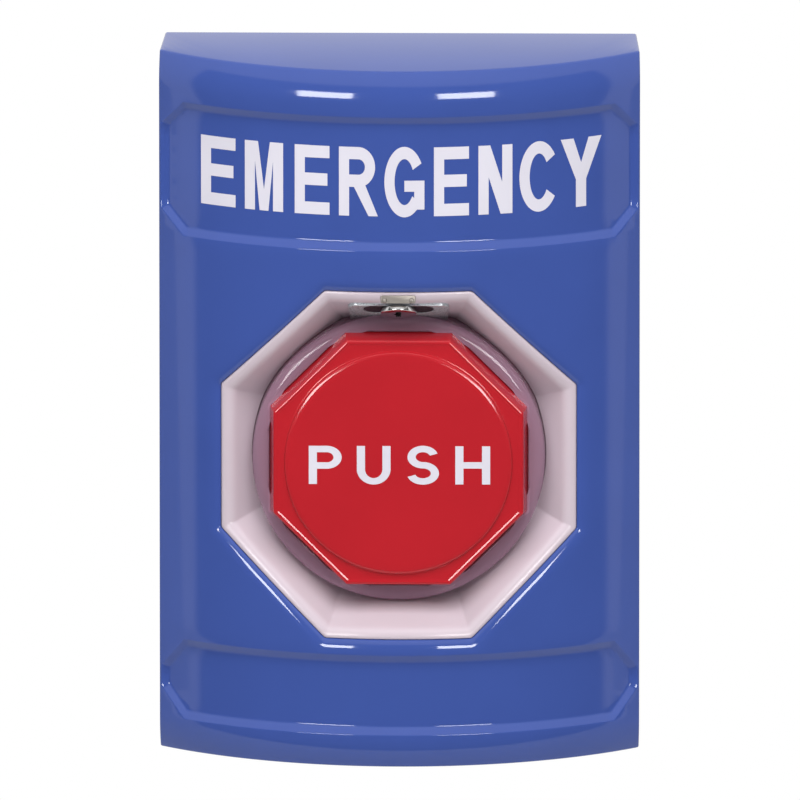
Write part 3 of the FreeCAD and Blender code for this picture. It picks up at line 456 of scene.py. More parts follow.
@dataclass(frozen=True)
class Finish:
    """A surface finish and how it varies.

    Colours are display values from 0 to 255, and bump is the grain's height in metres.
    """

    name: str
    colour: Colour
    slot: str
    roughness: float
    metallic: float = 0.0
    coat: float = 0.0
    transmission: float = 0.0
    refraction: float = 1.46
    specular: float = 0.5
    alpha: float = 1.0
    grain: Grain = Grain.EVEN
    grain_size: float = 2200.0
    bump: float = 0.000006
    wave: float = 0.5
    cloud: float = 0.04
    spread: float = 0.03

    def material(self) -> bpy.types.Material:
        """Builds the material once and returns it."""
        if self.name in bpy.data.materials:
            return bpy.data.materials[self.name]
        made = bpy.data.materials.new(self.name)
        made.use_nodes = True
        nodes, links = made.node_tree.nodes, made.node_tree.links
        shader = nodes["Principled BSDF"]
        where = nodes.new("ShaderNodeTexCoord")
        group = nodes.new("ShaderNodeGroup")
        group.node_tree = surface_group(self.grain)
        group.inputs["Colour"].default_value = linear(self.colour)
        group.inputs["Cloud Shade"].default_value = self.cloud
        group.inputs["Roughness"].default_value = self.roughness
        group.inputs["Roughness Spread"].default_value = self.spread
        group.inputs["Grain Size"].default_value = self.grain_size
        group.inputs["Wave Share"].default_value = self.wave
        links.new(where.outputs["Object"], group.inputs["Vector"])
        links.new(group.outputs["Colour"], shader.inputs["Base Color"])
        links.new(group.outputs["Roughness"], shader.inputs["Roughness"])
        bump = nodes.new("ShaderNodeBump")
        bump.inputs["Distance"].default_value = self.bump
        bump.inputs["Strength"].default_value = 1.0
        links.new(group.outputs["Height"], bump.inputs["Height"])
        links.new(bump.outputs["Normal"], shader.inputs["Normal"])
        shader.inputs["Metallic"].default_value = self.metallic
        shader.inputs["Coat Weight"].default_value = self.coat
        shader.inputs["Coat Roughness"].default_value = 0.06
        shader.inputs["Transmission Weight"].default_value = self.transmission
        shader.inputs["IOR"].default_value = self.refraction
        shader.inputs["Specular IOR Level"].default_value = self.specular
        shader.inputs["Alpha"].default_value = self.alpha
        return made

    def dress(self, piece: bpy.types.Object) -> None:
        """Gives a piece this finish alone."""
        piece.data.materials.clear()
        piece.data.materials.append(self.material())


BLUE = Finish("blue_gloss_cover", (60, 82, 154), "blue_plastic", 0.07, grain_size=900, bump=0.0000006, cloud=0.03,
              spread=0.015)
WHITE = Finish("white_recess", (200, 186, 195), "white_plastic", 0.24, cloud=0.02)
CLEAR = Finish("clear_collar", (188, 148, 172), "clear_plastic", 0.07, alpha=0.5, cloud=0.02, bump=0.000001,
               spread=0.02)
RED = Finish("red_button", (180, 30, 40), "red_plastic", 0.12, cloud=0.03, bump=0.000001)
INK = Finish("white_ink", (214, 211, 222), "white_plastic", 0.35, cloud=0.03)
BLACK = Finish("black_moulding", (44, 45, 48), "black_plastic", 0.42, bump=0.00001, grain_size=3000, cloud=0.1)
GREY = Finish("grey_moulding", (196, 197, 200), "grey_plastic", 0.4, bump=0.00001, grain_size=3000, cloud=0.05)
ACTUATOR = Finish("red_contact_pin", (170, 44, 40), "red_plastic", 0.35, cloud=0.06)
CHROME = Finish("lock_chrome", (214, 214, 212), "chrome", 0.14, metallic=1.0, grain_size=4000, spread=0.05)
LOCK_STEEL = Finish("lock_plate_steel", (178, 183, 188), "chrome", 0.3, metallic=0.4, grain_size=4000,
                    spread=0.08)
TAB_METAL = Finish("lock_tab_metal", (150, 143, 136), "chrome", 0.45, metallic=0.6, grain_size=5000, spread=0.08)
# Lock body colour: the barrel's own dark metal, and painted shade on the face in the plate's window, standing for the
# shaded groove round the plug.
DARK_AND_PAINTED_SHADE = Finish("lock_body_dark_and_painted_shade", (58, 52, 58), "dark_zinc", 0.36, metallic=0.7, spread=0.1)
SPRING = Finish("spring_wire", (176, 176, 178), "spring_steel", 0.26, metallic=1.0, grain_size=5000, spread=0.08)
ZINC = Finish("zinc_plated_sheet", (186, 188, 190), "zinc_steel", 0.34, metallic=1.0, grain=Grain.DRAWN,
              grain_size=1800, bump=0.000012, cloud=0.1, spread=0.12)
SCREW = Finish("zinc_plated_screw", (192, 193, 194), "zinc_steel", 0.28, metallic=1.0, grain_size=5000,
               spread=0.08)
BRASS = Finish("brass_terminal", (206, 172, 104), "brass", 0.3, metallic=1.0, grain_size=4000, spread=0.08)


def settle(piece: bpy.types.Object, finish: Finish, body: Body, replaced: Sequence[str] = ()) -> None:
    """Dresses a finished piece and hands it to its body.

    Args:
        piece: the plain object, at the origin.
        finish: what it is made of.
        body: the body that it moves with.
        replaced: CAD nodes that it stands for.
    """
    finish.dress(piece)
    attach(piece, body.value)
    if replaced:
        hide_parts(*replaced)
    LOG.info("%s: %d faces on %s", piece.name, len(piece.data.polygons), body.value)


# Cover

@dataclass
class FrontCover:
    """Blue moulded cover: a bowed front with two sunken bands round an octagonal opening."""

    band_sink: float = 1.0
    band_bevel: float = 1.3
    band_half_width: float = 40.9
    band_corner_run: float = 3.9
    top_band: tuple[float, float, float] = (29.9, 53.3, 4.3)
    bottom_band: tuple[float, float, float] = (-55.2, -41.1, 5.2)
    crest: float = 0.12
    foot: float = 0.3
    shoulder_z: float = 55.5
    shoulder_radius: float = 11.5
    draft: float = 0.5
    draft_from: float = 52.0
    side_round: float = 0.3
    opening_round: float = 2.45
    opening_drop: float = 0.9
    opening_corner: float = 0.9
    rim_soft: float = 0.3
    screw_x: float = 24.0
    screw_y: float = -6.5
    screw_shank: float = 1.55
    screw_head: float = 2.65
    screw_seat: float = 1.4

    def rim_drop(self, z: float) -> float:
        """Radial drop of the front near its top and bottom rims."""
        height = abs(z)
        if height <= self.shoulder_z:
            return 0.0
        rise = height - self.shoulder_z
        drop = self.shoulder_radius - math.sqrt(self.shoulder_radius ** 2 - rise * rise)
        soft = max(0.0, height - (STATION.height / 2 - self.rim_soft)) / self.rim_soft
        return drop + self.rim_soft * soft ** 3

    def rim_inset(self, z: float) -> float:
        """How far the sides pull in at the very top and bottom."""
        soft = max(0.0, abs(z) - (STATION.height / 2 - self.rim_soft)) / self.rim_soft
        return self.rim_soft * soft ** 3

    def band_outline(self, band: tuple[float, float, float], inset: float) -> list[Point]:
        """Corner points of a band's outline, moved inwards."""
        low, high, corner = band
        half, run = self.band_half_width, self.band_corner_run
        slope = math.hypot(corner, run)
        along = inset * (slope - corner) / run
        rise = inset * (slope - run) / corner
        x, z_low, z_high = half - inset, low + inset, high - inset
        right = [(x, z_low + corner - inset + rise), (x, z_high - corner + inset - rise)]
        top = [(half - run - along, z_high), (run - half + along, z_high)]
        left = [(-x, z_high - corner + inset - rise), (-x, z_low + corner - inset + rise)]
        bottom = [(run - half + along, z_low), (half - run - along, z_low)]
        return right + top + left + bottom

    def band_depth(self, band: tuple[float, float, float], x: float, z: float) -> float:
        """Radial depth of a band at a point of the front."""
        low, high, corner = band
        half, run = self.band_half_width, self.band_corner_run
        slope = math.hypot(corner, run)
        reach = min(half - abs(x), z - low, high - z)
        for end in (high - z, z - low):
            from_corner = (half - abs(x)) * corner + (end - corner) * run
            reach = min(reach, from_corner / slope)
        return self.band_sink * self.ramp(reach)

    def ramp(self, reach: float) -> float:
        """Share of the full depth at a distance inside the outline, with a soft crest and foot."""
        steep = 1 / self.band_bevel
        if reach <= -self.crest:
            return 0.0
        if reach < self.crest:
            return steep * (reach + self.crest) ** 2 / (4 * self.crest)
        if reach <= self.band_bevel - self.foot:
            return steep * reach
        if reach < self.band_bevel + self.foot:
            return 1.0 - steep * (self.band_bevel + self.foot - reach) ** 2 / (4 * self.foot)
        return 1.0

    def opening_depth(self, x: float, z: float) -> float:
        """Radial depth of the rolled edge round the opening."""
        inner = STATION.opening_flats / 2 - self.opening_corner
        corners = [(inner / math.cos(math.pi / 8) * math.cos(a), inner / math.cos(math.pi / 8) * math.sin(a))
                   for a in (math.pi / 8 + n * math.pi / 4 for n in range(8))]
        z -= STATION.opening_z
        outside = max(x * math.cos(n * math.pi / 4) + z * math.sin(n * math.pi / 4) for n in range(8)) - inner
        if outside > self.opening_corner + self.opening_round + 0.5 or outside <= 0:
            return 0.0
        nearest = 1e9
        for (ax, az), (bx, bz) in zip(corners, corners[1:] + corners[:1]):
            run_x, run_z = bx - ax, bz - az
            share = ((x - ax) * run_x + (z - az) * run_z) / (run_x ** 2 + run_z ** 2)
            share = min(1.0, max(0.0, share))
            nearest = min(nearest, math.hypot(x - ax - share * run_x, z - az - share * run_z))
        offset = nearest - self.opening_corner
        if offset >= self.opening_round:
            return 0.0
        inward = min(1.0, (self.opening_round - offset) / self.opening_round)
        return self.opening_drop * (1 - math.sqrt(max(0.0, 1 - inward * inward)))

    def sunk(self, x: float, z: float) -> float:
        """All radial depth at a point of the front."""
        depth = self.rim_drop(z) + self.opening_depth(x, z)
        for band in (self.top_band, self.bottom_band):
            if band[0] - 1 < z < band[1] + 1:
                depth += self.band_depth(band, x, z)
        return depth

    def side_x(self, y: float, inset: float) -> float:
        """X of the leaning side at a depth."""
        front = STATION.skin_y(STATION.width / 2)
        return STATION.width / 2 - inset - STATION.lean * (y - front) / (0 - front)

    def corner(self, z: float, inset: float) -> tuple[float, float]:
        """Where the bow would meet the side at a height: X and Y."""
        drop = self.rim_drop(z) if inset == 0 else inset
        pull = self.rim_inset(z) if inset == 0 else inset
        x = STATION.width / 2 - pull
        for _ in range(6):
            x = self.side_x(STATION.skin_y(x, drop), pull)
        return x, STATION.skin_y(x, drop)

    def edge_x(self, z: float) -> float:
        """X at which the bow ends and the rolled side edge begins."""
        x, _ = self.corner(z, 0.0)
        radius = STATION.radius - self.rim_drop(z)
        return radius * math.sin(math.asin(x / radius) - self.side_round / radius)

    def skin(self, x: float, z: float) -> Vector:
        """Point of the front for a point of its flat drawing."""
        reach = x * self.edge_x(z) / self.edge_x(0)
        return Vector((reach, STATION.skin_y(reach, self.sunk(x, z)), z))

    def heights(self) -> list[float]:
        """Heights at which the sides and the front share their edge points."""
        top = STATION.height / 2
        steps = 12
        rim = [self.shoulder_z + (top - self.rim_soft - self.shoulder_z) * n / steps for n in range(steps + 1)]
        rim += [top - self.rim_soft * 0.6, top - self.rim_soft * 0.3, top - self.rim_soft * 0.1, top]
        count = 40
        middle = [-self.shoulder_z + 2 * self.shoulder_z * n / count for n in range(1, count)]
        return [-z for z in reversed(rim)] + middle + rim

    def columns(self) -> list[float]:
        """X of the columns that the front is drawn on."""
        edge = self.edge_x(0)
        end = math.asin(edge / STATION.radius)
        count = 84
        inner = [STATION.radius * math.sin(end * (2 * n / count - 1)) for n in range(1, count)]
        return [-edge] + inner + [edge]

    def front(self) -> tuple[list[Vector], list[list[int]]]:
        """Bowed front with its bands and rolled opening."""
        heights, columns = self.heights(), self.columns()
        edge = columns[-1]
        outer = ([(edge, z) for z in heights] + [(x, heights[-1]) for x in reversed(columns[1:-1])]
                 + [(-edge, z) for z in reversed(heights)] + [(x, heights[0]) for x in columns[1:-1]])
        centre = STATION.opening_z
        loops: list[list[Point]] = []
        for n in range(1, 10):
            angle = math.pi / 2 * n / 9
            offset = self.opening_round * (1 - math.cos(angle))
            drawn = octagon(STATION.opening_flats + 2 * offset, self.opening_corner + offset)
            loops.append([(x, centre + z) for x, z in drawn])
        hole = [(x, centre + z) for x, z in octagon(STATION.opening_flats, self.opening_corner)]
        insets = [-self.crest, 0.0, self.crest, self.band_bevel - self.foot, self.band_bevel - self.foot / 2,
                  self.band_bevel, self.band_bevel + self.foot / 2, self.band_bevel + self.foot]
        for band in (self.top_band, self.bottom_band):
            for inset in insets:
                loops.append(self.divided(self.band_outline(band, inset), columns))
        lines = [[(x, z) for x in columns[1:-1]] for z in heights[1:-1] if abs(z) >= self.shoulder_z]
        opening = [(x, centre + z) for x, z in octagon(STATION.opening_flats + 2 * self.opening_round + 0.6, 2.0)]
        rows = [z for z in heights if abs(z) < self.shoulder_z]
        loose = []
        for x in columns[1:-1]:
            for z in rows:
                if holds(opening, x, z) or self.near_band_edge(x, z):
                    continue
                loose.append((x, z))
        return patch(outer, [hole], self.skin, loops, lines, loose)

    def near_band_edge(self, x: float, z: float) -> bool:
        """Whether a loose point would fall on a band's bevel."""
        for band in (self.top_band, self.bottom_band):
            outline = self.band_outline(band, -self.crest - 0.3)
            floor = self.band_outline(band, self.band_bevel + self.foot + 0.3)
            if holds(outline, x, z) and not holds(floor, x, z):
                return True
        return False

    def divided(self, outline: Sequence[Point], columns: Sequence[float]) -> list[Point]:
        """Adds points where an outline crosses the columns, so that it follows the bow."""
        loop: list[Point] = []
        for (ax, az), (bx, bz) in zip(outline, [*outline[1:], outline[0]]):
            loop.append((ax, az))
            if abs(bx - ax) < 0.01:
                steps = max(1, round(abs(bz - az) / 2.0))
                loop.extend((ax, az + (bz - az) * n / steps) for n in range(1, steps))
                continue
            between = [x for x in columns if min(ax, bx) + 0.15 < x < max(ax, bx) - 0.15]
            if bx < ax:
                between.reverse()
            loop.extend((x, az + (bz - az) * (x - ax) / (bx - ax)) for x in between)
        return loop

    def side(self, sign: int) -> tuple[list[Vector], list[list[int]]]:
        """Rolled edge and leaning side, from the front back to the wall."""
        rows = []
        for z in self.heights():
            x, y = self.corner(z, 0.0)
            start_x = self.edge_x(z)
            start = Vector((start_x, STATION.skin_y(start_x, self.rim_drop(z)), z))
            meet = Vector((x, y, z))
            down = Vector((self.side_x(y + self.side_round, self.rim_inset(z)), y + self.side_round, z))
            row = []
            for n in range(6):
                share = n / 5
                row.append(start * (1 - share) ** 2 + meet * 2 * share * (1 - share) + down * share ** 2)
            back = Vector((self.side_x(0.0, self.rim_inset(z)), 0.0, z))
            for n in range(1, 5):
                row.append(down.lerp(back, n / 4))
            rows.append([Vector((sign * p.x, p.y, p.z)) for p in row])
        count = len(rows[0])
        faces = []
        for row in range(len(rows) - 1):
            for n in range(count - 1):
                here = row * count + n
                faces.append([here, here + 1, here + 1 + count, here + count])
        return [point for row in rows for point in row], faces

    def end_outline(self, z: float) -> list[Point]:
        """Outline of the top or bottom face in X and Y, matching the front and the sides."""
        columns = self.columns()
        front = [self.skin(x, z) for x in columns]
        sides, _ = self.side(1)
        count = len(sides) // len(self.heights())
        row = sides[-count:] if z > 0 else sides[:count]
        right = [(p.x, p.y) for p in row]
        left = [(-x, y) for x, y in reversed(right)]
        return left[:-1] + [(p.x, p.y) for p in front] + right[1:]

    def inner_outline(self) -> list[Point]:
        """Outline of the inside in X and Y."""
        x, y = self.corner(0.0, STATION.wall)
        radius = STATION.radius - STATION.wall
        end = math.asin(x / radius)
        front = [(radius * math.sin(end * (n / 30 - 1)), STATION.axis_y - radius * math.cos(end * (n / 30 - 1)))
                 for n in range(61)]
        back = self.side_x(0.0, STATION.wall)
        right = [(x + (back - x) * n / 4, y * (1 - n / 4)) for n in range(1, 5)]
        return [(-a, b) for a, b in reversed(right)] + front + right

    def build(self) -> bpy.types.Object:
        """Builds the whole cover as one closed shell."""
        top = STATION.height / 2
        inner_top = top - STATION.wall
        parts = [self.front(), self.side(1), self.side(-1)]
        holes = [circle(self.screw_head, side * self.screw_x, self.screw_y) for side in (-1, 1)]
        shanks = [circle(self.screw_shank, side * self.screw_x, self.screw_y) for side in (-1, 1)]
        parts.append(patch(self.end_outline(top), [], lambda x, y: Vector((x, y, top))))
        parts.append(patch(self.end_outline(-top), holes, lambda x, y: Vector((x, y, -top))))
        seat = -top + self.screw_seat
        for head, shank in zip(holes, shanks):
            loops = [(head, -top), (head, seat), (shank, seat), (shank, -inner_top)]
            parts.append(join_loops([[Vector((x, y, z)) for x, y in loop] for loop, z in loops], ends=False))
        inside = self.inner_outline()
        parts.append(patch(inside, [], lambda x, y: Vector((x, y, inner_top))))
        parts.append(patch(inside, shanks, lambda x, y: Vector((x, y, -inner_top))))
        steps = 30
        rows = [-inner_top + 2 * inner_top * n / steps for n in range(steps + 1)]
        for half in (inside[:5], inside[-5:]):
            wall = [[Vector((x, y, z)) for x, y in half] for z in rows]
            faces = [[r * 5 + n, r * 5 + n + 1, r * 5 + n + 6, r * 5 + n + 5] for r in range(steps)
                     for n in range(4)]
            parts.append(([p for row in wall for p in row], faces))
        bow = [x for x, _ in inside[4:-4]]
        border = ([(bow[-1], z) for z in rows] + [(x, rows[-1]) for x in reversed(bow[1:-1])]
                  + [(bow[0], z) for z in reversed(rows)] + [(x, rows[0]) for x in bow[1:-1]])
        hole = [(x, STATION.opening_z + z) for x, z in octagon(STATION.opening_flats, self.opening_corner)]
        away = [(x, STATION.opening_z + z) for x, z in octagon(STATION.opening_flats + 2.0, 1.5)]
        loose = [(x, z) for x in bow[1:-1] for z in rows[1:-1] if not holds(away, x, z)]
        parts.append(patch(border, [hole], lambda x, z: Vector((x, STATION.skin_y(x, STATION.wall), z)),
                           loose=loose))
        rim_loop = [Vector((x, self.skin(x, z).y, z)) for x, z in hole]
        inner_loop = [Vector((x, STATION.skin_y(x, STATION.wall), z)) for x, z in hole]
        parts.append(join_loops([rim_loop, inner_loop], ends=False))
        heights = self.heights()
        outer_back = ([(self.side_x(0.0, self.rim_inset(z)), z) for z in heights]
                      + [(-self.side_x(0.0, self.rim_inset(z)), z) for z in reversed(heights)])
        back = inside[-1][0]
        inner_back = [(back, z) for z in rows] + [(-back, z) for z in reversed(rows)]
        parts.append(patch(outer_back, [inner_back], lambda x, z: Vector((x, 0.0, z))))
        points, faces = merged(*parts)
        return mesh_object("cover_shell", [self.drafted(point) for point in points], faces, sharp=38.0)

    def drafted(self, point: Vector) -> Vector:
        """Slopes the top and bottom walls inwards towards the front."""
        share = min(1.0, max(0.0, (abs(point.z) - self.draft_from) / (STATION.height / 2 - self.draft_from)))
        slope = self.draft * share * share * (3 - 2 * share) * point.y / STATION.apex_y
        return Vector((point.x, point.y, point.z - math.copysign(slope, point.z)))

    def dress(self) -> None:
        """Makes the cover and puts it in place of the plain one."""
        settle(self.build(), BLUE, Body.STATION, ["front_cover"])


# Recess and collar

@dataclass
class Recess:
    """White octagonal recess behind the opening, with the bosses on its back."""

    frame_flats: float = 60.94
    flange_flats: float = 68.0
    flange_thick: float = 2.0
    corner: float = 1.0
    facet_corner: float = 0.7
    soft: float = 0.3
    turn: float = 1.6
    ring_wall: float = 2.2
    boss_radius: float = 3.2
    boss_hole: float = 1.5
    boss_back_y: float = -14.5
    boss_circle: float = 63.4

    def build(self) -> bpy.types.Object:
        """Builds the recess as one closed ring with its bosses."""
        flange = STATION.wall + STATION.collar_gap

        def skin(sunk: float) -> Callable[[float], float]:
            return lambda x: STATION.skin_y(x, sunk)

        sink, soft = STATION.bezel_sink, self.soft
        outside = octagon(self.frame_flats, self.corner)
        loops = [in_opening(outside, skin(flange)), in_opening(outside, skin(sink + soft))]
        for n in range(1, 4):
            angle = math.pi / 2 * n / 3
            inwards = soft * (1 - math.cos(angle))
            loops.append(in_opening(octagon(self.frame_flats - 2 * inwards, self.corner),
                                    skin(sink + soft * (1 - math.sin(angle)))))
        rim = STATION.rim_flats
        lip = in_opening(octagon(self.frame_flats - 2 * soft, self.corner), skin(sink))
        start_loop = octagon(rim, self.facet_corner)
        floor_loop = octagon(STATION.floor_flats, self.facet_corner)
        hole = STATION.collar_radius + STATION.collar_gap
        upper, lower = [], []
        for (ax, az), (bx, bz) in zip(start_loop, floor_loop):
            begin = STATION.skin_y(ax, sink)
            upper.append(Vector((ax, begin, STATION.opening_z + az)))
            low, high = 0.0, 1.0
            for _ in range(30):
                middle = (low + high) / 2
                reach = math.hypot(ax + (bx - ax) * middle, az + (bz - az) * middle)
                low, high = (middle, high) if reach > hole else (low, middle)
            lower.append(Vector((ax + (bx - ax) * low, begin + (STATION.bezel_floor_y - begin) * low,
                                 STATION.opening_z + az + (bz - az) * low)))
        turn_steps, steps = 9, 8
        turn_ends = [edge + (end - edge).normalized() * self.turn for edge, end in zip(upper, lower)]
        for n in range(1, turn_steps + 1):
            share = n / turn_steps
            loops.append([a * (1 - share) ** 2 + edge * 2 * share * (1 - share) + b * share ** 2
                          for a, edge, b in zip(lip, upper, turn_ends)])
        for n in range(1, steps + 1):
            loops.append([a.lerp(b, n / steps) for a, b in zip(turn_ends, lower)])
        ring = round_like(start_loop, hole)
        outer_ring = round_like(start_loop, hole + self.ring_wall)
        edge = octagon(self.flange_flats, self.corner)
        loops.append(in_opening(ring, STATION.bezel_back_y))
        loops.append(in_opening(outer_ring, STATION.bezel_back_y))
        loops.append(in_opening(outside, skin(flange + self.flange_thick)))
        loops.append(in_opening(edge, skin(flange + self.flange_thick)))
        loops.append(in_opening(edge, skin(flange)))
        made = mesh_object("recess_shell", *join_loops(loops, ring=True), sharp=28.0)
        reach = self.boss_circle / 2 / math.sqrt(2)
        tubes = []
        for x in (-reach, reach):
            for z in (-reach, reach):
                start = STATION.skin_y(x, flange + self.flange_thick / 2)
                profile = [(self.boss_hole, start), (self.boss_radius, start),
                           (self.boss_radius, self.boss_back_y), (self.boss_hole, self.boss_back_y)]
                loops = [[Vector((r * math.cos(a), r * math.sin(a), y))
                          for a in (2 * math.pi * n / 32 for n in range(32))] for r, y in profile]
                tube = join_loops(loops, ring=True)
                tubes.append(moved(tube, along_y(x, STATION.opening_z + z)))
        lock = KeyLock()
        boss = [[Vector((r * math.cos(a), r * math.sin(a), z)) for a in (2 * math.pi * n / 48 for n in range(48))]
                for r, z in ((lock.barrel_radius + 0.05, 2.0), (lock.barrel_radius + lock.boss_wall, 2.0),
                             (lock.barrel_radius + lock.boss_wall, lock.boss_length),
                             (lock.barrel_radius + 0.05, lock.boss_length))]
        tubes.append(moved(join_loops(boss, ring=True), lock.place()))
        bore = mesh_object("bore", *moved(turned([(0, -4), (lock.barrel_radius + 0.05, -4),
                                                  (lock.barrel_radius + 0.05, 14), (0, 14)]), lock.place()))
        cut(made, [bore], sharp=28.0)
        extra = mesh_object("recess_bosses", *merged(*tubes), sharp=28.0)
        settle(extra, WHITE, Body.STATION)
        return made

    def dress(self) -> None:
        """Makes the recess and puts it in place of the plain one."""
        settle(self.build(), WHITE, Body.STATION, ["octagon_bezel"])


@dataclass
class ClearCollar:
    """Clear round collar with an octagonal hole."""

    face_y: float = -24.5
    back_y: float = -14.5
    hole_flats: float = 44.4
    hole_corner: float = 0.8
    flange: float = 2.4
    rolled_width: float = 2.2
    rolled_depth: float = 1.3
    soft: float = 0.25

    def build(self) -> bpy.types.Object:
        """Builds the collar as one closed ring."""
        hole = octagon(self.hole_flats, self.hole_corner)
        outer = STATION.collar_radius
        loops = [in_opening(round_like(hole, outer), STATION.bezel_back_y),
                 in_opening(round_like(hole, outer), self.face_y + self.rolled_depth)]
        for n in range(1, 11):
            angle = math.pi / 2 * n / 10
            loops.append(in_opening(round_like(hole, outer - self.rolled_width * (1 - math.cos(angle))),
                                    self.face_y + self.rolled_depth * (1 - math.sin(angle))))
        for n in range(4):
            angle = math.pi / 2 * n / 3
            loops.append(in_opening(octagon(self.hole_flats + 2 * self.soft * (1 - math.sin(angle)),
                                            self.hole_corner), self.face_y + self.soft * (1 - math.cos(angle))))
        loops.append(in_opening(hole, self.back_y))
        loops.append(in_opening(round_like(hole, outer + self.flange), self.back_y))
        loops.append(in_opening(round_like(hole, outer + self.flange), STATION.bezel_back_y))
        return mesh_object("collar_clear", *join_loops(loops, ring=True), sharp=28.0)

    def dress(self) -> None:
        """Makes the collar and puts it in place of the plain one."""
        settle(self.build(), CLEAR, Body.STATION, ["clear_collar"])


# Button

@dataclass
class PushButton:
    """Red octagonal cap with a raised round disc."""

    flats: float = 44.1
    face_flats: float = 42.9
    draft_y: float = -24.5
    corner: float = 0.5
    face_y: float = -27.9
    disc_radius: float = 19.5
    disc_rise: float = 0.6
    disc_soft: float = 0.3
    disc_edge: tuple[Point, ...] = ((0.62, 0.0), (0.54, 0.01), (0.5, 0.02), (0.2, 0.103), (0.14, 0.13), (0.06, 0.2),
                                    (0.015, 0.28), (0.0, 0.36))
    rim_bead: tuple[Point, ...] = ((0.9, 0.0), (0.84, 0.01), (0.8, 0.022), (0.66, 0.065), (0.6, 0.08),
                                   (0.5, 0.088), (0.42, 0.085), (0.38, 0.078), (0.22, 0.03), (0.15, -0.02),
                                   (0.05, -0.08), (0.0, -0.3))
    flange_y: float = -14.2
    back_y: float = -12.7
    flange_radius: float = 24.73
    wall: float = 2.2
    socket_radius: float = 7.8
    socket_hole: float = 6.05
    socket_length: float = 6.0

    def build(self) -> bpy.types.Object:
        """Builds the cap from the middle of its face, over the edge and back inside to the socket."""
        outline = octagon(self.flats, self.corner)
        top = self.face_y - self.disc_rise
        loops = []
        for radius in (0.01, 3.0, 7.0, 11.0, 15.0, 17.5):
            loops.append(in_opening(round_like(outline, radius), top))
        for inset, fall in self.disc_edge:
            loops.append(in_opening(round_like(outline, self.disc_radius - inset), top + fall))
        for n in range(4):
            angle = math.pi / 2 * n / 3
            loops.append(in_opening(round_like(outline, self.disc_radius + self.disc_soft * (1 - math.cos(angle))),
                                    self.face_y - self.disc_soft * (1 - math.sin(angle))))
        for inset, rise in self.rim_bead:
            loops.append(in_opening(octagon(self.face_flats - 2 * inset, self.corner), self.face_y - rise))
        loops.append(in_opening(outline, self.draft_y))
        inside = octagon(self.flats - 2 * self.wall, self.corner)
        inner_y = self.face_y + self.wall
        loops.append(in_opening(outline, self.flange_y))
        loops.append(in_opening(round_like(outline, self.flange_radius), self.flange_y))
        loops.append(in_opening(round_like(outline, self.flange_radius), self.back_y))
        loops.append(in_opening(inside, self.back_y))
        loops.append(in_opening(inside, inner_y))
        for radius, y in ((self.socket_radius, inner_y), (self.socket_radius, inner_y + self.socket_length),
                          (self.socket_hole, inner_y + self.socket_length), (self.socket_hole, inner_y),
                          (0.01, inner_y)):
            loops.append(in_opening(round_like(outline, radius), y))
        return mesh_object("button_shell", *join_loops(loops), sharp=30.0)

    def dress(self) -> None:
        """Makes the cap and puts it in place of the plain one."""
        settle(self.build(), RED, Body.BUTTON, ["button_cap"])


# Lock

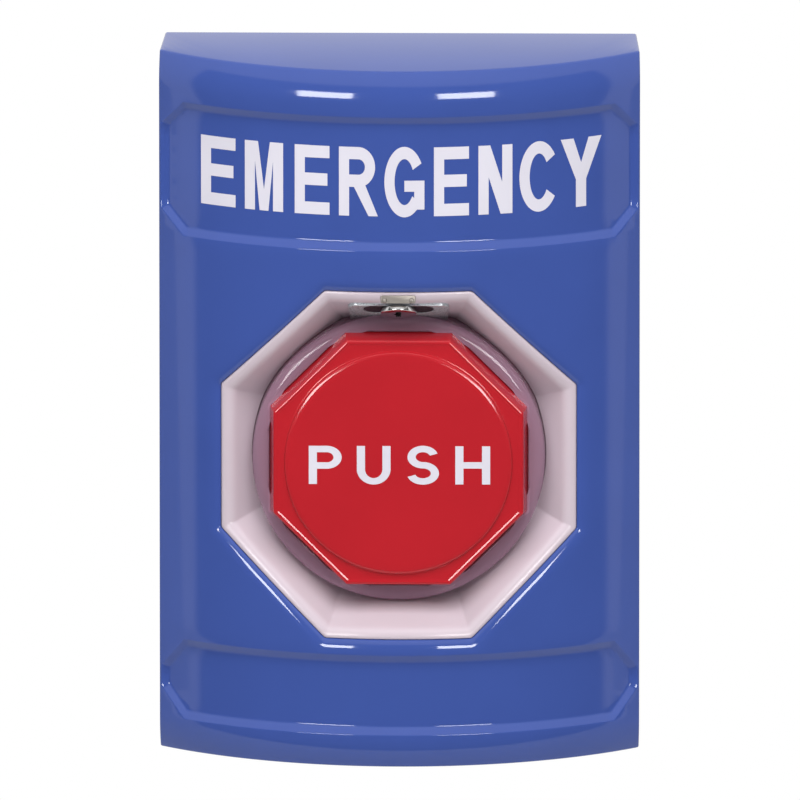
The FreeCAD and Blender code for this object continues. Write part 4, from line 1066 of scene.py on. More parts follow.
@dataclass
class KeyLock:
    """Small key lock in the top facet: plate, barrel, plug and tab."""

    seat_depth: float = 3.5
    plate_width: float = 17.3
    plate_start: float = 0.8
    plate_length: float = 10.0
    plate_thick: float = 0.8
    plate_round: float = 1.6
    face_width: float = 12.0
    face_length: float = 5.4
    barrel_radius: float = 3.6
    barrel_length: float = 12.6
    boss_wall: float = 1.8
    boss_length: float = 10.6
    plug_radius: float = 2.5
    plug_proud: float = 0.85
    plug_rim: tuple[float, float] = (3.15, 0.75)
    keyway: tuple[float, float, float] = (0.9, 3.2, 6.0)
    tail_radius: float = 1.2
    cam_low: float = 14.3
    cam_gap: float = 0.4
    cam_high: float = 15.8
    tab_half: float = 3.0
    tab_low: float = 20.75
    tab_high: float = 22.1
    tab_thick: float = 0.25

    def seat(self) -> tuple[Vector, Vector, Vector]:
        """Point on the facet, the direction up into the station, and the direction down the facet."""
        near = STATION.rim_flats / 2 * math.tan(math.pi / 8)
        rim = Vector((0, STATION.skin_y(near, STATION.bezel_sink), STATION.opening_z + STATION.rim_flats / 2))
        floor = Vector((0, STATION.bezel_floor_y, STATION.opening_z + STATION.floor_flats / 2))
        down = (floor - rim).normalized()
        return rim + down * self.seat_depth, Vector((0, -down.z, down.y)), down

    def place(self) -> Matrix:
        """Moves a shape made on the facet's own axes to its place: X right, Y down the facet, Z into it."""
        seat, axis, down = self.seat()
        return Matrix(((1, down.x, axis.x, seat.x), (0, down.y, axis.y, seat.y), (0, down.z, axis.z, seat.z),
                       (0, 0, 0, 1)))

    def plate_end(self, x: float) -> float:
        """How far down the facet the plate reaches at x, clear of the collar's hole."""
        seat, _, down = self.seat()
        hole = STATION.collar_radius + STATION.collar_gap + 0.05
        reach = math.sqrt(hole * hole - x * x)
        limit = (seat.z - STATION.opening_z - reach) / -down.z
        return min(limit, self.plate_start - self.seat_depth + self.plate_length)

    def slotted(self, width: float, length: float, steps: int = 12) -> list[Point]:
        """Closed outline with round ends."""
        radius = length / 2
        reach = width / 2 - radius
        loop = []
        for sign in (1, -1):
            for n in range(steps + 1):
                angle = -math.pi / 2 + math.pi * n / steps
                loop.append((sign * (reach + radius * math.cos(angle)), sign * radius * math.sin(angle)))
        return loop

    def plate(self) -> bpy.types.Object:
        """Bright plate with its lower edge round the collar."""
        half, start = self.plate_width / 2, self.plate_start - self.seat_depth
        outline = [(x, y) for x, y in rounded_box(half, start, start + 6.0, self.plate_round) if y < start + 3]
        left = [point for point in outline if point[0] < 0]
        right = [point for point in outline if point[0] > 0]
        steps = 24
        lower = [(half - 0.35 - (2 * half - 0.7) * n / steps, 0.0) for n in range(steps + 1)]
        lower = [(x, self.plate_end(x)) for x, _ in lower]
        loop = left + right + lower
        window = self.slotted(self.face_width + 0.1, self.face_length + 0.1)
        soft = 0.15

        def shrunk(points: Sequence[Point], by: float) -> list[Point]:
            middle_x = sum(p[0] for p in points) / len(points)
            middle_y = sum(p[1] for p in points) / len(points)
            wide = max(abs(p[0] - middle_x) for p in points)
            tall = max(abs(p[1] - middle_y) for p in points)
            return [(middle_x + (x - middle_x) * (1 - by / wide), middle_y + (y - middle_y) * (1 - by / tall))
                    for x, y in points]

        low = -self.plate_thick
        parts = [patch(shrunk(loop, soft), [shrunk(window, -soft)], lambda x, y: Vector((x, y, low))),
                 patch(loop, [window], lambda x, y: Vector((x, y, 0.0)))]
        for points, by in ((loop, soft), (window, -soft)):
            rows = [(shrunk(points, by), low), (shrunk(points, by * 0.3), low + soft * 0.3),
                    (points, low + soft), (points, 0.0)]
            parts.append(join_loops([[Vector((x, y, z)) for x, y in row] for row, z in rows], ends=False))
        return mesh_object("lock_face_plate", *moved(merged(*parts), self.place()), sharp=40.0)

    def barrel(self) -> bpy.types.Object:
        """Body: a long face in the plate's window, coloured dark as painted shade for the groove round the plug, and
        a round barrel behind it.
        """
        # The face's dark colour is painted shade for the groove round the plug, not a real recess.
        face = self.slotted(self.face_width, self.face_length)
        low = -self.plate_thick + 0.1
        loops = [[Vector((x * 0.985, y * 0.97, low)) for x, y in face], [Vector((x, y, low + 0.12)) for x, y in face],
                 [Vector((x, y, 0.0)) for x, y in face]]
        made = mesh_object("lock_body", *moved(join_loops(loops), self.place()), sharp=40.0)
        hole = [(0, -3), (self.plug_radius + 0.05, -3), (self.plug_radius + 0.05, 14), (0, 14)]
        cut(made, [mesh_object("plug_hole", *moved(turned(hole), self.place()))], sharp=40.0)
        outer, inner = self.barrel_radius, self.plug_radius + 0.05
        groove = outer - 0.4
        rows = [(inner, 0.02), (outer, 0.02), (outer, self.boss_length), (groove, self.boss_length),
                (groove, self.boss_length + 0.85), (outer, self.boss_length + 0.85), (outer, self.barrel_length),
                (inner, self.barrel_length)]
        tube = [[Vector((r * math.cos(a), r * math.sin(a), z)) for a in (2 * math.pi * n / 48 for n in range(48))]
                for r, z in rows]
        settle(mesh_object("lock_barrel_tube", *moved(join_loops(tube, ring=True), self.place()), sharp=40.0),
               DARK_AND_PAINTED_SHADE, Body.STATION)
        return made

    def plug(self) -> bpy.types.Object:
        """Bright core with its key slot."""
        front = -self.plate_thick - self.plug_proud
        radius = self.plug_radius
        rim, thick = self.plug_rim
        profile = [(0, front)] + [(rim - 0.15 * (1 - math.sin(a)), front + 0.15 * (1 - math.cos(a)))
                                  for a in (math.pi / 2 * n / 4 for n in range(5))]
        shoulder = self.cam_low - self.cam_gap
        profile += [(rim, front + thick), (radius, front + thick), (radius, shoulder),
                    (self.tail_radius, shoulder), (self.tail_radius, self.cam_high), (0, self.cam_high)]
        made = mesh_object("lock_core_plug", *moved(turned(profile, 64), self.place()), sharp=30.0)
        wide, tall, deep = self.keyway
        loop = [(wide / 2, tall / 2), (-wide / 2, tall / 2), (-wide / 2, 0.35), (-wide / 2 - 0.3, 0.1),
                (-wide / 2 - 0.3, -0.3), (-wide / 2, -0.5), (-wide / 2, -tall / 2), (wide / 2, -tall / 2)]
        slot = join_loops([[Vector((x, y, z)) for x, y in loop] for z in (front - 1, deep)])
        cut(made, [mesh_object("key_slot", *moved(slot, self.place()))], sharp=30.0)
        return made

    def tab(self) -> bpy.types.Object:
        """Pale tab bent up over the lip above the plate, with two small bright studs."""
        skin = STATION.skin_y(0, STATION.bezel_sink)
        outline = rounded_box(self.tab_half, self.tab_low, self.tab_high, 0.3)
        loops = []
        for grow, proud in ((1.0, -0.4), (1.0, self.tab_thick - 0.1), (0.99, self.tab_thick - 0.03),
                            (0.97, self.tab_thick)):
            loops.append([Vector((x * grow, skin - proud, z)) for x, z in outline])
        parts = [join_loops(loops)]
        for x in (-self.tab_half * 0.78, self.tab_half * 0.78):
            profile = [(0.46, -0.05), (0.44, 0.1), (0.34, 0.2), (0.18, 0.26), (0, 0.28)]
            stud = turned([(0, -0.05)] + profile, 24)
            place = along_y(x, self.tab_low + 0.5) @ Matrix.Scale(-1, 4, (0, 0, 1))
            parts.append(moved(stud, Matrix.Translation((0, skin - self.tab_thick, 0)) @ place))
        return mesh_object("lock_tab", *merged(*parts), sharp=40.0)

    def dress(self) -> None:
        """Makes the lock's shown pieces."""
        settle(self.plate(), LOCK_STEEL, Body.STATION, ["lock_plate"])
        settle(self.barrel(), DARK_AND_PAINTED_SHADE, Body.STATION, ["lock_barrel"])
        settle(self.plug(), CHROME, Body.LOCK, ["lock_plug"])
        settle(self.tab(), TAB_METAL, Body.STATION)


# Lettering

@dataclass(frozen=True)
class Strokes:
    """Plain bold capitals made of bars, slants and arcs, one unit high.

    Each letter is a list of simple outlines that may overlap.
    """

    upright: float
    level: float
    widths: dict[str, float]
    before: dict[str, float]
    after: dict[str, float]

    def bar(self, x_low: float, z_low: float, x_high: float, z_high: float) -> list[Point]:
        """Upright rectangle."""
        return [(x_low, z_low), (x_high, z_low), (x_high, z_high), (x_low, z_high)]

    def arc(self, x: float, z: float, reach: float, rise: float, start: float, end: float) -> list[Point]:
        """Part of an oval ring between two angles in degrees, thick as the strokes."""
        steps = max(6, round(abs(end - start) / 7))
        angles = [math.radians(start + (end - start) * n / steps) for n in range(steps + 1)]
        outer = [(x + reach * math.cos(a), z + rise * math.sin(a)) for a in angles]
        inner = [(x + (reach - self.upright) * math.cos(a), z + (rise - self.level) * math.sin(a))
                 for a in reversed(angles)]
        return outer + inner

    def letter(self, name: str) -> list[list[Point]]:
        """Outlines of a letter, its lower left corner at the origin."""
        w, v, h = self.widths[name], self.upright, self.level
        half = w / 2
        left, right = self.bar(0, 0, v, 1), self.bar(w - v, 0, w, 1)
        shapes = {
            "E": lambda: [left, self.bar(0, 1 - h, w, 1), self.bar(0, 0.51 - h / 2, w * 0.94, 0.51 + h / 2),
                          self.bar(0, 0, w, h)],
            "M": lambda: [left, right,
                          [(v, 1), (v, 0.72), (half - w * 0.115, 0), (half, 0), (half, 0.31), (w * 0.345, 1)],
                          [(w - v, 1), (w * 0.655, 1), (half, 0.31), (half, 0), (half + w * 0.115, 0),
                           (w - v, 0.72)]],
            "R": lambda: [left, self.bar(0, 1 - h, w * 0.5, 1), self.bar(0, 0.42, w * 0.5, 0.42 + h),
                          self.arc(w * 0.5, 0.71, w * 0.43, 0.29, -90, 90),
                          [(w * 0.36, 0.45), (w * 0.76, 0), (w, 0), (w * 0.66, 0.47)]],
            "G": lambda: [self.arc(half, 0.5, half, 0.512, 32, 322), self.bar(half, 0.36, w, 0.36 + h * 0.9),
                          self.bar(w - v, 0.1, w, 0.36 + h * 0.9)],
            "N": lambda: [left, right, [(0, 1), (w - v * 1.15, 0), (w, 0), (v * 1.15, 1)]],
            "C": lambda: [self.arc(half, 0.5, half, 0.512, 36, 324)],
            "Y": lambda: [self.bar(half - v / 2, 0, half + v / 2, 0.42),
                          [(0, 1), (half - v / 2, 0.4), (half + v / 2, 0.4), (v * 1.25, 1)],
                          [(w, 1), (w - v * 1.25, 1), (half - v / 2, 0.4), (half + v / 2, 0.4)]],
            "P": lambda: [left, self.bar(0, 1 - h, w * 0.55, 1), self.bar(0, 0.4, w * 0.55, 0.4 + h),
                          self.arc(w * 0.55, 0.7, w * 0.45, 0.3, -90, 90)],
            "U": lambda: [self.bar(0, 0.38, v, 1), self.bar(w - v, 0.38, w, 1),
                          self.arc(half, 0.39, half, 0.4, 180, 360)],
            "S": lambda: [self.arc(half, 0.5 + (0.51 - h / 2) / 2, w * 0.48, (0.51 + h / 2) / 2, 18, 270),
                          self.arc(half, 0.5 - (0.51 - h / 2) / 2, half, (0.51 + h / 2) / 2, -162, 90)],
            "H": lambda: [left, right, self.bar(0, 0.5 - h / 2, w, 0.5 + h / 2)],
        }
        return shapes[name]()

    def word(self, text: str) -> tuple[list[list[Point]], float]:
        """Outlines of a word and its length."""
        outlines: list[list[Point]] = []
        reach = -self.before[text[0]]
        for name in text:
            reach += self.before[name]
            outlines.extend([(x + reach, z) for x, z in outline] for outline in self.letter(name))
            reach += self.widths[name] + self.after[name]
        return outlines, reach - self.after[text[-1]]


NARROW = Strokes(0.14, 0.178, {"E": 0.48, "M": 0.53, "R": 0.535, "G": 0.55, "N": 0.465, "C": 0.535, "Y": 0.555},
                 {"E": 0.07, "M": 0.07, "R": 0.07, "G": 0.05, "N": 0.07, "C": 0.045, "Y": 0.0},
                 {"E": 0.06, "M": 0.09, "R": 0.04, "G": 0.06, "N": 0.05, "C": 0.03, "Y": 0.0})
WIDE = Strokes(0.215, 0.168, {"P": 0.867, "U": 0.888, "S": 0.846, "H": 0.919},
               {"P": 0.2, "U": 0.2, "S": 0.215, "H": 0.215}, {"P": 0.2, "U": 0.215, "S": 0.215, "H": 0.2})


@dataclass
class Lettering:
    """Plain function words: one on the band, one on the button."""

    band_word: str = "EMERGENCY"
    band_low: float = 35.83
    band_high: float = 47.88
    band_half_width: float = 34.3
    band_middle: float = 0.36
    button_word: str = "PUSH"
    button_middle: float = -8.2
    button_height: float = 6.7
    button_half_width: float = 15.55
    button_shift: float = 0.2
    proud: float = 0.04
    thick: float = 0.08

    def lay(self, name: str, letters: Strokes, text: str, low: Point, high: Point,
            depth: Callable[[float], float]) -> bpy.types.Object:
        """Fills a word's outlines and lays them as a thin skin on a surface.

        Args:
            name: the piece's name.
            letters: the strokes.
            text: the word.
            low: lowest X and Z.
            high: highest X and Z.
            depth: Y of the surface at x.

        Returns:
            The closed mesh object.
        """
        outlines, length = letters.word(text)
        drawn: list[Vector] = []
        faces = []
        for outline in outlines:
            faces.append(list(range(len(drawn), len(drawn) + len(outline))))
            drawn.extend(Vector((low[0] + x / length * (high[0] - low[0]), low[1] + z * (high[1] - low[1])))
                         for x, z in outline)
        edges = []
        for n in range(1, round(high[0] - low[0])):
            x = low[0] + n
            edges.append((len(drawn), len(drawn) + 1))
            drawn.extend([Vector((x, low[1] - 1)), Vector((x, high[1] + 1))])
        flat, _, cells, _, _, covers = delaunay_2d_cdt(drawn, edges, faces, 0, 1e-4)
        work = bmesh.new()
        verts = [work.verts.new(Vector((p.x, depth(p.x) - self.proud, p.y)) * MM) for p in flat]
        for cell, cover in zip(cells, covers):
            if cover:
                work.faces.new([verts[n] for n in cell])
        bmesh.ops.delete(work, geom=[v for v in work.verts if not v.link_faces], context="VERTS")
        grown_part = bmesh.ops.extrude_face_region(work, geom=work.faces[:])
        for vert in (v for v in grown_part["geom"] if isinstance(v, bmesh.types.BMVert)):
            vert.co.y += self.thick * MM
        bmesh.ops.recalc_face_normals(work, faces=work.faces)
        mesh = bpy.data.meshes.new(name)
        work.to_mesh(mesh)
        work.free()
        smooth(mesh, 30.0)
        made = bpy.data.objects.new(name, mesh)
        bpy.context.scene.collection.objects.link(made)
        return made

    def dress(self) -> None:
        """Makes both words."""
        sunk = FrontCover().band_sink
        wide, middle = self.band_half_width, self.band_middle
        band = self.lay("band_word", NARROW, self.band_word, (middle - wide, self.band_low),
                        (middle + wide, self.band_high), lambda x: STATION.skin_y(x, sunk))
        settle(band, INK, Body.STATION)
        button = PushButton()
        half, tall = self.button_half_width, self.button_height / 2
        face = button.face_y - button.disc_rise
        shift = self.button_shift
        word = self.lay("button_word", WIDE, self.button_word, (shift - half, self.button_middle - tall),
                        (shift + half, self.button_middle + tall), lambda x: face)
        settle(word, INK, Body.BUTTON)


# Repeated pieces by Geometry Nodes

def repeat_tree() -> bpy.types.NodeTree:
    """Tree that sets a pattern piece at every point, then makes it real and dresses it."""
    name = "set_at_points"
    if name in bpy.data.node_groups:
        return bpy.data.node_groups[name]
    tree = bpy.data.node_groups.new(name, "GeometryNodeTree")
    tree.interface.new_socket(name="Geometry", in_out="INPUT", socket_type="NodeSocketGeometry")
    for label, kind in (("Pattern", "NodeSocketObject"), ("Finish", "NodeSocketMaterial")):
        tree.interface.new_socket(name=label, in_out="INPUT", socket_type=kind)
    tree.interface.new_socket(name="Size", in_out="INPUT", socket_type="NodeSocketFloat").default_value = 1.0
    tree.interface.new_socket(name="Geometry", in_out="OUTPUT", socket_type="NodeSocketGeometry")
    nodes, links = tree.nodes, tree.links
    entry, leave = nodes.new("NodeGroupInput"), nodes.new("NodeGroupOutput")
    pattern = nodes.new("GeometryNodeObjectInfo")
    place = nodes.new("GeometryNodeInstanceOnPoints")
    real = nodes.new("GeometryNodeRealizeInstances")
    finish = nodes.new("GeometryNodeSetMaterial")
    links.new(entry.outputs["Geometry"], place.inputs["Points"])
    links.new(entry.outputs["Pattern"], pattern.inputs["Object"])
    links.new(pattern.outputs["Geometry"], place.inputs["Instance"])
    links.new(entry.outputs["Size"], place.inputs["Scale"])
    links.new(place.outputs["Instances"], real.inputs["Geometry"])
    links.new(real.outputs["Geometry"], finish.inputs["Geometry"])
    links.new(entry.outputs["Finish"], finish.inputs["Material"])
    links.new(finish.outputs["Geometry"], leave.inputs["Geometry"])
    return tree


def coil_tree() -> bpy.types.NodeTree:
    """Tree that winds a round wire into a coil along Z and dresses it."""
    name = "wound_coil"
    if name in bpy.data.node_groups:
        return bpy.data.node_groups[name]
    tree = bpy.data.node_groups.new(name, "GeometryNodeTree")
    for label, kind in (("Coil Radius", "NodeSocketFloat"), ("Wire Radius", "NodeSocketFloat"),
                        ("Turns", "NodeSocketFloat"), ("Length", "NodeSocketFloat"),
                        ("Finish", "NodeSocketMaterial")):
        tree.interface.new_socket(name=label, in_out="INPUT", socket_type=kind)
    tree.interface.new_socket(name="Geometry", in_out="OUTPUT", socket_type="NodeSocketGeometry")
    nodes, links = tree.nodes, tree.links
    entry, leave = nodes.new("NodeGroupInput"), nodes.new("NodeGroupOutput")
    path = nodes.new("GeometryNodeCurveSpiral")
    path.inputs["Resolution"].default_value = 40
    wire = nodes.new("GeometryNodeCurvePrimitiveCircle")
    wire.inputs["Resolution"].default_value = 14
    skin = nodes.new("GeometryNodeCurveToMesh")
    skin.inputs["Fill Caps"].default_value = True
    finish = nodes.new("GeometryNodeSetMaterial")
    real = nodes.new("GeometryNodeRealizeInstances")
    links.new(entry.outputs["Coil Radius"], path.inputs["Start Radius"])
    links.new(entry.outputs["Coil Radius"], path.inputs["End Radius"])
    links.new(entry.outputs["Turns"], path.inputs["Rotations"])
    links.new(entry.outputs["Length"], path.inputs["Height"])
    links.new(entry.outputs["Wire Radius"], wire.inputs["Radius"])
    links.new(path.outputs["Curve"], skin.inputs["Curve"])
    links.new(wire.outputs["Curve"], skin.inputs["Profile Curve"])
    links.new(skin.outputs["Mesh"], real.inputs["Geometry"])
    links.new(real.outputs["Geometry"], finish.inputs["Geometry"])
    links.new(entry.outputs["Finish"], finish.inputs["Material"])
    links.new(finish.outputs["Geometry"], leave.inputs["Geometry"])
    return tree


def grown(name: str, points: Sequence[Vector], tree: bpy.types.NodeTree,
          values: dict[str, object]) -> bpy.types.Object:
    """Runs a Geometry Nodes tree on a few points and keeps the plain result.

    Args:
        name: the piece's name.
        points: places in millimetres.
        tree: the tree.
        values: the tree's inputs by name.

    Returns:
        A plain mesh object.
    """
    mesh = bpy.data.meshes.new(name)
    mesh.from_pydata([tuple(point * MM) for point in points], [], [])
    made = bpy.data.objects.new(name, mesh)
    bpy.context.scene.collection.objects.link(made)
    step = made.modifiers.new("grow", "NODES")
    step.node_group = tree
    sockets = {item.name: item.identifier for item in tree.interface.items_tree
               if item.item_type == "SOCKET" and item.in_out == "INPUT"}
    for label, value in values.items():
        step[sockets[label]] = value
    bake(made)
    smooth(made.data, 35.0)
    return made


@dataclass
class ScrewKind:
    """A slotted screw along +Y, head to the back."""

    shank_radius: float
    shank_length: float
    head_radius: float
    head_height: float
    slot_width: float = 0.8
    slot_depth: float = 0.6
    forward: bool = True

    def pattern(self, name: str) -> bpy.types.Object:
        """One screw about the origin: the head's underside at 0 and the shank towards -Y."""
        head, top = self.head_radius, self.head_height
        profile = [(0, -self.shank_length), (self.shank_radius * 0.7, -self.shank_length),
                   (self.shank_radius, -self.shank_length + 0.5), (self.shank_radius, 0), (head, 0),
                   (head, top * 0.55), (head * 0.96, top * 0.8), (head * 0.84, top), (0, top)]
        made = mesh_object(name, *moved(turned(profile, 40), along_y(0, 0)), sharp=35.0)
        half, reach = self.slot_width / 2, head * 2
        low, high = top - self.slot_depth, top + 1
        corners = [Vector((x, y, z)) for y in (low, high) for x, z in ((-reach, -half), (reach, -half),
                                                                       (reach, half), (-reach, half))]
        faces = [[0, 1, 2, 3], [7, 6, 5, 4], [0, 4, 5, 1], [1, 5, 6, 2], [2, 6, 7, 3], [3, 7, 4, 0]]
        cut(made, [mesh_object(name + "_slot", corners, faces)], sharp=35.0)
        return made


@dataclass
class Fasteners:
    """Sets of equal screws, each grown from one pattern."""

    terminal_x: float = 10.5
    terminal_z: float = 12.0
    terminal_seat: float = 19.0
    housing_circle: float = 63.4
    housing_seat: float = -11.5
    block_z: float = 7.8

    def grow(self, name: str, kind: ScrewKind, places: Sequence[Vector], finish: Finish, node: str) -> None:
        """Sets a screw at each place and puts the set in place of its CAD node."""
        pattern = kind.pattern(name + "_pattern")
        made = grown(name, places, repeat_tree(), {"Pattern": pattern, "Finish": finish.material(), "Size": 1.0})
        bpy.data.objects.remove(pattern)
        settle(made, finish, Body.STATION, [node])

    def dress(self) -> None:
        """Makes the terminal and housing screws."""
        z = STATION.opening_z
        pairs = [(-1, -1), (-1, 1), (1, -1), (1, 1)]
        self.grow("terminal_screw_set", ScrewKind(1.7, 7.0, 3.1, 2.0, 0.8, 0.8),
                  [Vector((a * self.terminal_x, self.terminal_seat, z + b * self.terminal_z)) for a, b in pairs],
                  BRASS, "terminal_screws")
        reach = self.housing_circle / 2 / math.sqrt(2)
        self.grow("housing_screw_set", ScrewKind(1.45, 11.9, 2.7, 1.6, 0.8, 0.8),
                  [Vector((a * reach, self.housing_seat, z + b * reach)) for a, b in pairs],
                  SCREW, "housing_screws")


@dataclass
class Coils:
    """Round-wire springs in place of the plain coils."""

    def grow(self, name: str, radius: float, wire: float, turns: float, length: float, start: Vector,
             turn: Matrix, node: str, joint: str, travel: float, fixed: float) -> None:
        """Winds one spring and lays it along its own direction.

        Args:
            name: the piece's name.
            radius: middle radius of the coil.
            wire: thickness of the wire.
            turns: number of turns.
            length: whole length, wire included.
            start: middle of the first end.
            turn: rotation from +Z to the spring's direction.
            node: the CAD node that it stands for.
            joint: not used.
            travel: not used.
            fixed: not used.
        """
        made = grown(name, [Vector((0, 0, 0))], coil_tree(),
                     {"Coil Radius": radius * MM, "Wire Radius": wire / 2 * MM, "Turns": turns,
                      "Length": (length - wire) * MM, "Finish": SPRING.material()})
        made.data.transform(Matrix.Translation(start * MM) @ turn @ Matrix.Translation((0, 0, wire / 2 * MM)))
        settle(made, SPRING, Body.STATION, [node])
        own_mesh(made)

    def dress(self) -> None:
        """Makes the return, contact and latch springs."""
        z = STATION.opening_z
        back = Matrix.Rotation(-math.pi / 2, 4, "X")
        right = Matrix.Rotation(math.pi / 2, 4, "Y")
        self.grow("return_coil", 16.0, 1.2, 4.0, 20.0, Vector((0, -25.6, z)), back, "return_spring",
                  "button_push", 5.0, 1.0)
        for side, x in (("left", -10.5), ("right", 10.5)):
            self.grow("contact_coil_" + side, 1.6, 0.5, 5.0, 8.4, Vector((x, 8.55, z)), back,
                      "contact_spring_" + side, "contact_" + side + "_push", 5.0, 1.0)
        self.grow("latch_coil", 1.9, 0.5, 5.0, 7.9, Vector((-14.45, -10.15, 23.43)), right, "latch_spring",
                  "latch_shift", 2.0, 0.0)


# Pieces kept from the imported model

@dataclass
class KeptNodes:
    """Finishes of the CAD nodes that show as they are."""

    finishes: dict[str, Finish] = field(default_factory=lambda: {
        "plunger_stem": BLACK,
        "mechanism_housing": GREY,
        "block_screws": SCREW,
        "contact_block_left": BLACK,
        "contact_block_right": BLACK,
        "contact_plunger_left": ACTUATOR,
        "contact_plunger_right": ACTUATOR,
        "terminal_clamps": SCREW,
        "lock_clip": SPRING,
        "lock_cam": SCREW,
        "cam_screw": SCREW,
        "latch_slide": ZINC,
        "back_plate": ZINC,
        "cover_screws": SCREW,
    })

    def dress(self) -> None:
        """Gives each kept node its finish."""
        for name, finish in self.finishes.items():
            finish.dress(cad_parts[name])
            LOG.info("%s keeps its packed mesh", name)


# Studio

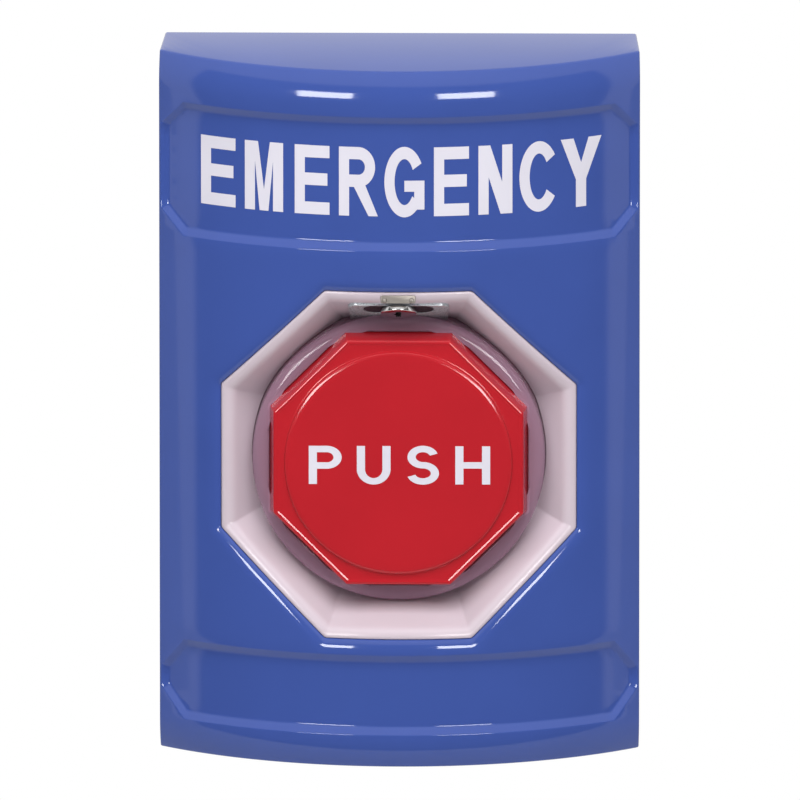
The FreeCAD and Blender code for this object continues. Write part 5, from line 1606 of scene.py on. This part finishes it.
@dataclass
class Studio:
    """Pale floor and backdrop, soft panels and the camera."""

    distance: float = 6.0
    elevation: float = 12.5
    azimuth: float = 0.9
    view_width: float = 0.1370
    target: tuple[float, float, float] = (0.00034, -0.0315, 0.0039)
    even_level: float = 0.42
    tent_level: float = 0.95
    front_level: float = 0.1
    floor_z: float = -0.32
    floor_front: float = -0.32
    shadow_reach: Point = (0.5, 0.9)

    def direction(self, azimuth: float, elevation: float) -> Vector:
        """Unit vector from the object towards an azimuth and elevation in degrees."""
        a, e = math.radians(azimuth), math.radians(elevation)
        return Vector((math.sin(a) * math.cos(e), -math.cos(a) * math.cos(e), math.sin(e)))

    def camera(self) -> None:
        """Places the camera at the photograph's viewing angle."""
        data = bpy.data.cameras.new("camera")
        data.sensor_width = 36.0
        data.lens = data.sensor_width * self.distance / self.view_width
        data.clip_start = 0.1
        data.clip_end = 50.0
        made = bpy.data.objects.new("camera", data)
        towards = self.direction(self.azimuth, self.elevation)
        made.location = Vector(self.target) + towards * self.distance
        made.rotation_euler = (-towards).to_track_quat("-Z", "Y").to_euler()
        bpy.context.scene.collection.objects.link(made)
        bpy.context.scene.camera = made

    def panel(self, name: str, azimuth: float, elevation: float, distance: float, size: Point,
              level: float) -> bpy.types.Object:
        """Adds a soft light panel that faces the front.

        Args:
            name: the lamp's name.
            azimuth: degrees to the right of the front.
            elevation: degrees above the horizon.
            distance: metres from the front.
            size: width and height in metres.
            level: radiance, where 1 is a white surface.

        Returns:
            The lamp.
        """
        data = bpy.data.lights.new(name, "AREA")
        data.shape = "RECTANGLE"
        data.size, data.size_y = size
        data.energy = level * math.pi * size[0] * size[1]
        made = bpy.data.objects.new(name, data)
        towards = self.direction(azimuth, elevation)
        made.location = Vector((0, -0.03, 0.0)) + towards * distance
        made.rotation_euler = (-towards).to_track_quat("-Z", "Y").to_euler()
        bpy.context.scene.collection.objects.link(made)
        return made

    def pale(self, name: str, level: float) -> bpy.types.Material:
        """Plain pale material, white to the camera beyond the place where the shadow falls."""
        made = bpy.data.materials.new(name)
        made.use_nodes = True
        nodes, links = made.node_tree.nodes, made.node_tree.links
        nodes.clear()
        path = nodes.new("ShaderNodeLightPath")
        soft = nodes.new("ShaderNodeBsdfDiffuse")
        soft.inputs["Color"].default_value = (level, level, level, 1)
        white = nodes.new("ShaderNodeEmission")
        mix = nodes.new("ShaderNodeMixShader")
        leave = nodes.new("ShaderNodeOutputMaterial")
        straight = nodes.new("ShaderNodeMath")
        straight.operation = "MAXIMUM"
        links.new(path.outputs["Is Camera Ray"], straight.inputs[0])
        links.new(path.outputs["Is Transmission Ray"], straight.inputs[1])
        where = nodes.new("ShaderNodeTexCoord")
        reach = nodes.new("ShaderNodeVectorMath")
        reach.operation = "LENGTH"
        links.new(where.outputs["Object"], reach.inputs[0])
        far = nodes.new("ShaderNodeMapRange")
        far.inputs["From Min"].default_value, far.inputs["From Max"].default_value = self.shadow_reach
        links.new(reach.outputs["Value"], far.inputs["Value"])
        share = nodes.new("ShaderNodeMath")
        share.operation = "MULTIPLY"
        links.new(straight.outputs[0], share.inputs[0])
        links.new(far.outputs["Result"], share.inputs[1])
        links.new(share.outputs[0], mix.inputs["Fac"])
        links.new(soft.outputs[0], mix.inputs[1])
        links.new(white.outputs[0], mix.inputs[2])
        links.new(mix.outputs[0], leave.inputs["Surface"])
        return made

    def floor(self) -> None:
        """Large pale floor below the station."""
        reach, front, z = 6.0, self.floor_front, self.floor_z
        mesh = bpy.data.meshes.new("floor")
        mesh.from_pydata([(-reach, front, z), (reach, front, z), (reach, reach, z), (-reach, reach, z)], [],
                         [(0, 1, 2, 3)])
        made = bpy.data.objects.new("floor", mesh)
        bpy.context.scene.collection.objects.link(made)
        mesh.materials.append(self.pale("floor_white", 0.8))

    def world(self) -> None:
        """Pale tent with its dim open side in front, white to the camera."""
        made = bpy.data.worlds.new("studio")
        bpy.context.scene.world = made
        made.use_nodes = True
        nodes, links = made.node_tree.nodes, made.node_tree.links
        nodes.clear()
        path = nodes.new("ShaderNodeLightPath")
        even = nodes.new("ShaderNodeBackground")
        where = nodes.new("ShaderNodeTexCoord")
        split = nodes.new("ShaderNodeSeparateXYZ")
        links.new(where.outputs["Generated"], split.inputs["Vector"])
        share = nodes.new("ShaderNodeMath")
        share.operation = "MAXIMUM"
        for number, (axis, low, high) in enumerate((("Y", -0.34, -0.30), ("Z", 0.40, 0.45))):
            edge = nodes.new("ShaderNodeMapRange")
            edge.inputs["From Min"].default_value = low
            edge.inputs["From Max"].default_value = high
            links.new(split.outputs[axis], edge.inputs["Value"])
            links.new(edge.outputs["Result"], share.inputs[number])
        tone = nodes.new("ShaderNodeMix")
        tone.data_type = "RGBA"
        dim, bright = self.front_level, self.tent_level
        tone.inputs["A"].default_value = (dim, dim, dim, 1)
        tone.inputs["B"].default_value = (bright, bright * 0.985, bright, 1)
        links.new(share.outputs[0], tone.inputs["Factor"])
        soft = nodes.new("ShaderNodeMix")
        soft.data_type = "RGBA"
        level = self.even_level
        soft.inputs["A"].default_value = (level, level, level, 1)
        links.new(path.outputs["Is Glossy Ray"], soft.inputs["Factor"])
        links.new(tone.outputs["Result"], soft.inputs["B"])
        links.new(soft.outputs["Result"], even.inputs["Color"])
        seen = nodes.new("ShaderNodeBackground")
        seen.inputs["Color"].default_value = (1, 1, 1, 1)
        mix = nodes.new("ShaderNodeMixShader")
        leave = nodes.new("ShaderNodeOutputWorld")
        straight = nodes.new("ShaderNodeMath")
        straight.operation = "MAXIMUM"
        links.new(path.outputs["Is Camera Ray"], straight.inputs[0])
        links.new(path.outputs["Is Transmission Ray"], straight.inputs[1])
        links.new(straight.outputs[0], mix.inputs["Fac"])
        links.new(even.outputs[0], mix.inputs[1])
        links.new(seen.outputs[0], mix.inputs[2])
        links.new(mix.outputs[0], leave.inputs["Surface"])

    def build(self) -> None:
        """Sets the camera, the lights, the floor and the view."""
        bpy.context.scene.view_settings.view_transform = "Standard"
        self.camera()
        self.world()
        self.floor()
        self.panel("key", 0.0, 56.0, 1.2, (1.2, 0.8), 6.0).visible_glossy = False
        self.panel("fill", 0.0, -36.0, 1.2, (1.2, 0.5), 1.5).visible_glossy = False
        for azimuth, name in ((-25.0, "left"), (21.5, "right")):
            self.panel("window_" + name, azimuth, 9.0, 1.3, (0.42, 0.24), 20.0).visible_diffuse = False


def main() -> None:
    """Builds the studio and every piece."""
    logging.basicConfig(level=logging.INFO, format="%(name)s: %(message)s")
    Studio().build()
    for piece in (FrontCover(), Recess(), ClearCollar(), PushButton(), KeyLock(), Lettering(), Fasteners(),
                  Coils(), KeptNodes()):
        piece.dress()
        LOG.info("built %s", type(piece).__name__)


if __name__ == "__main__":
    main()
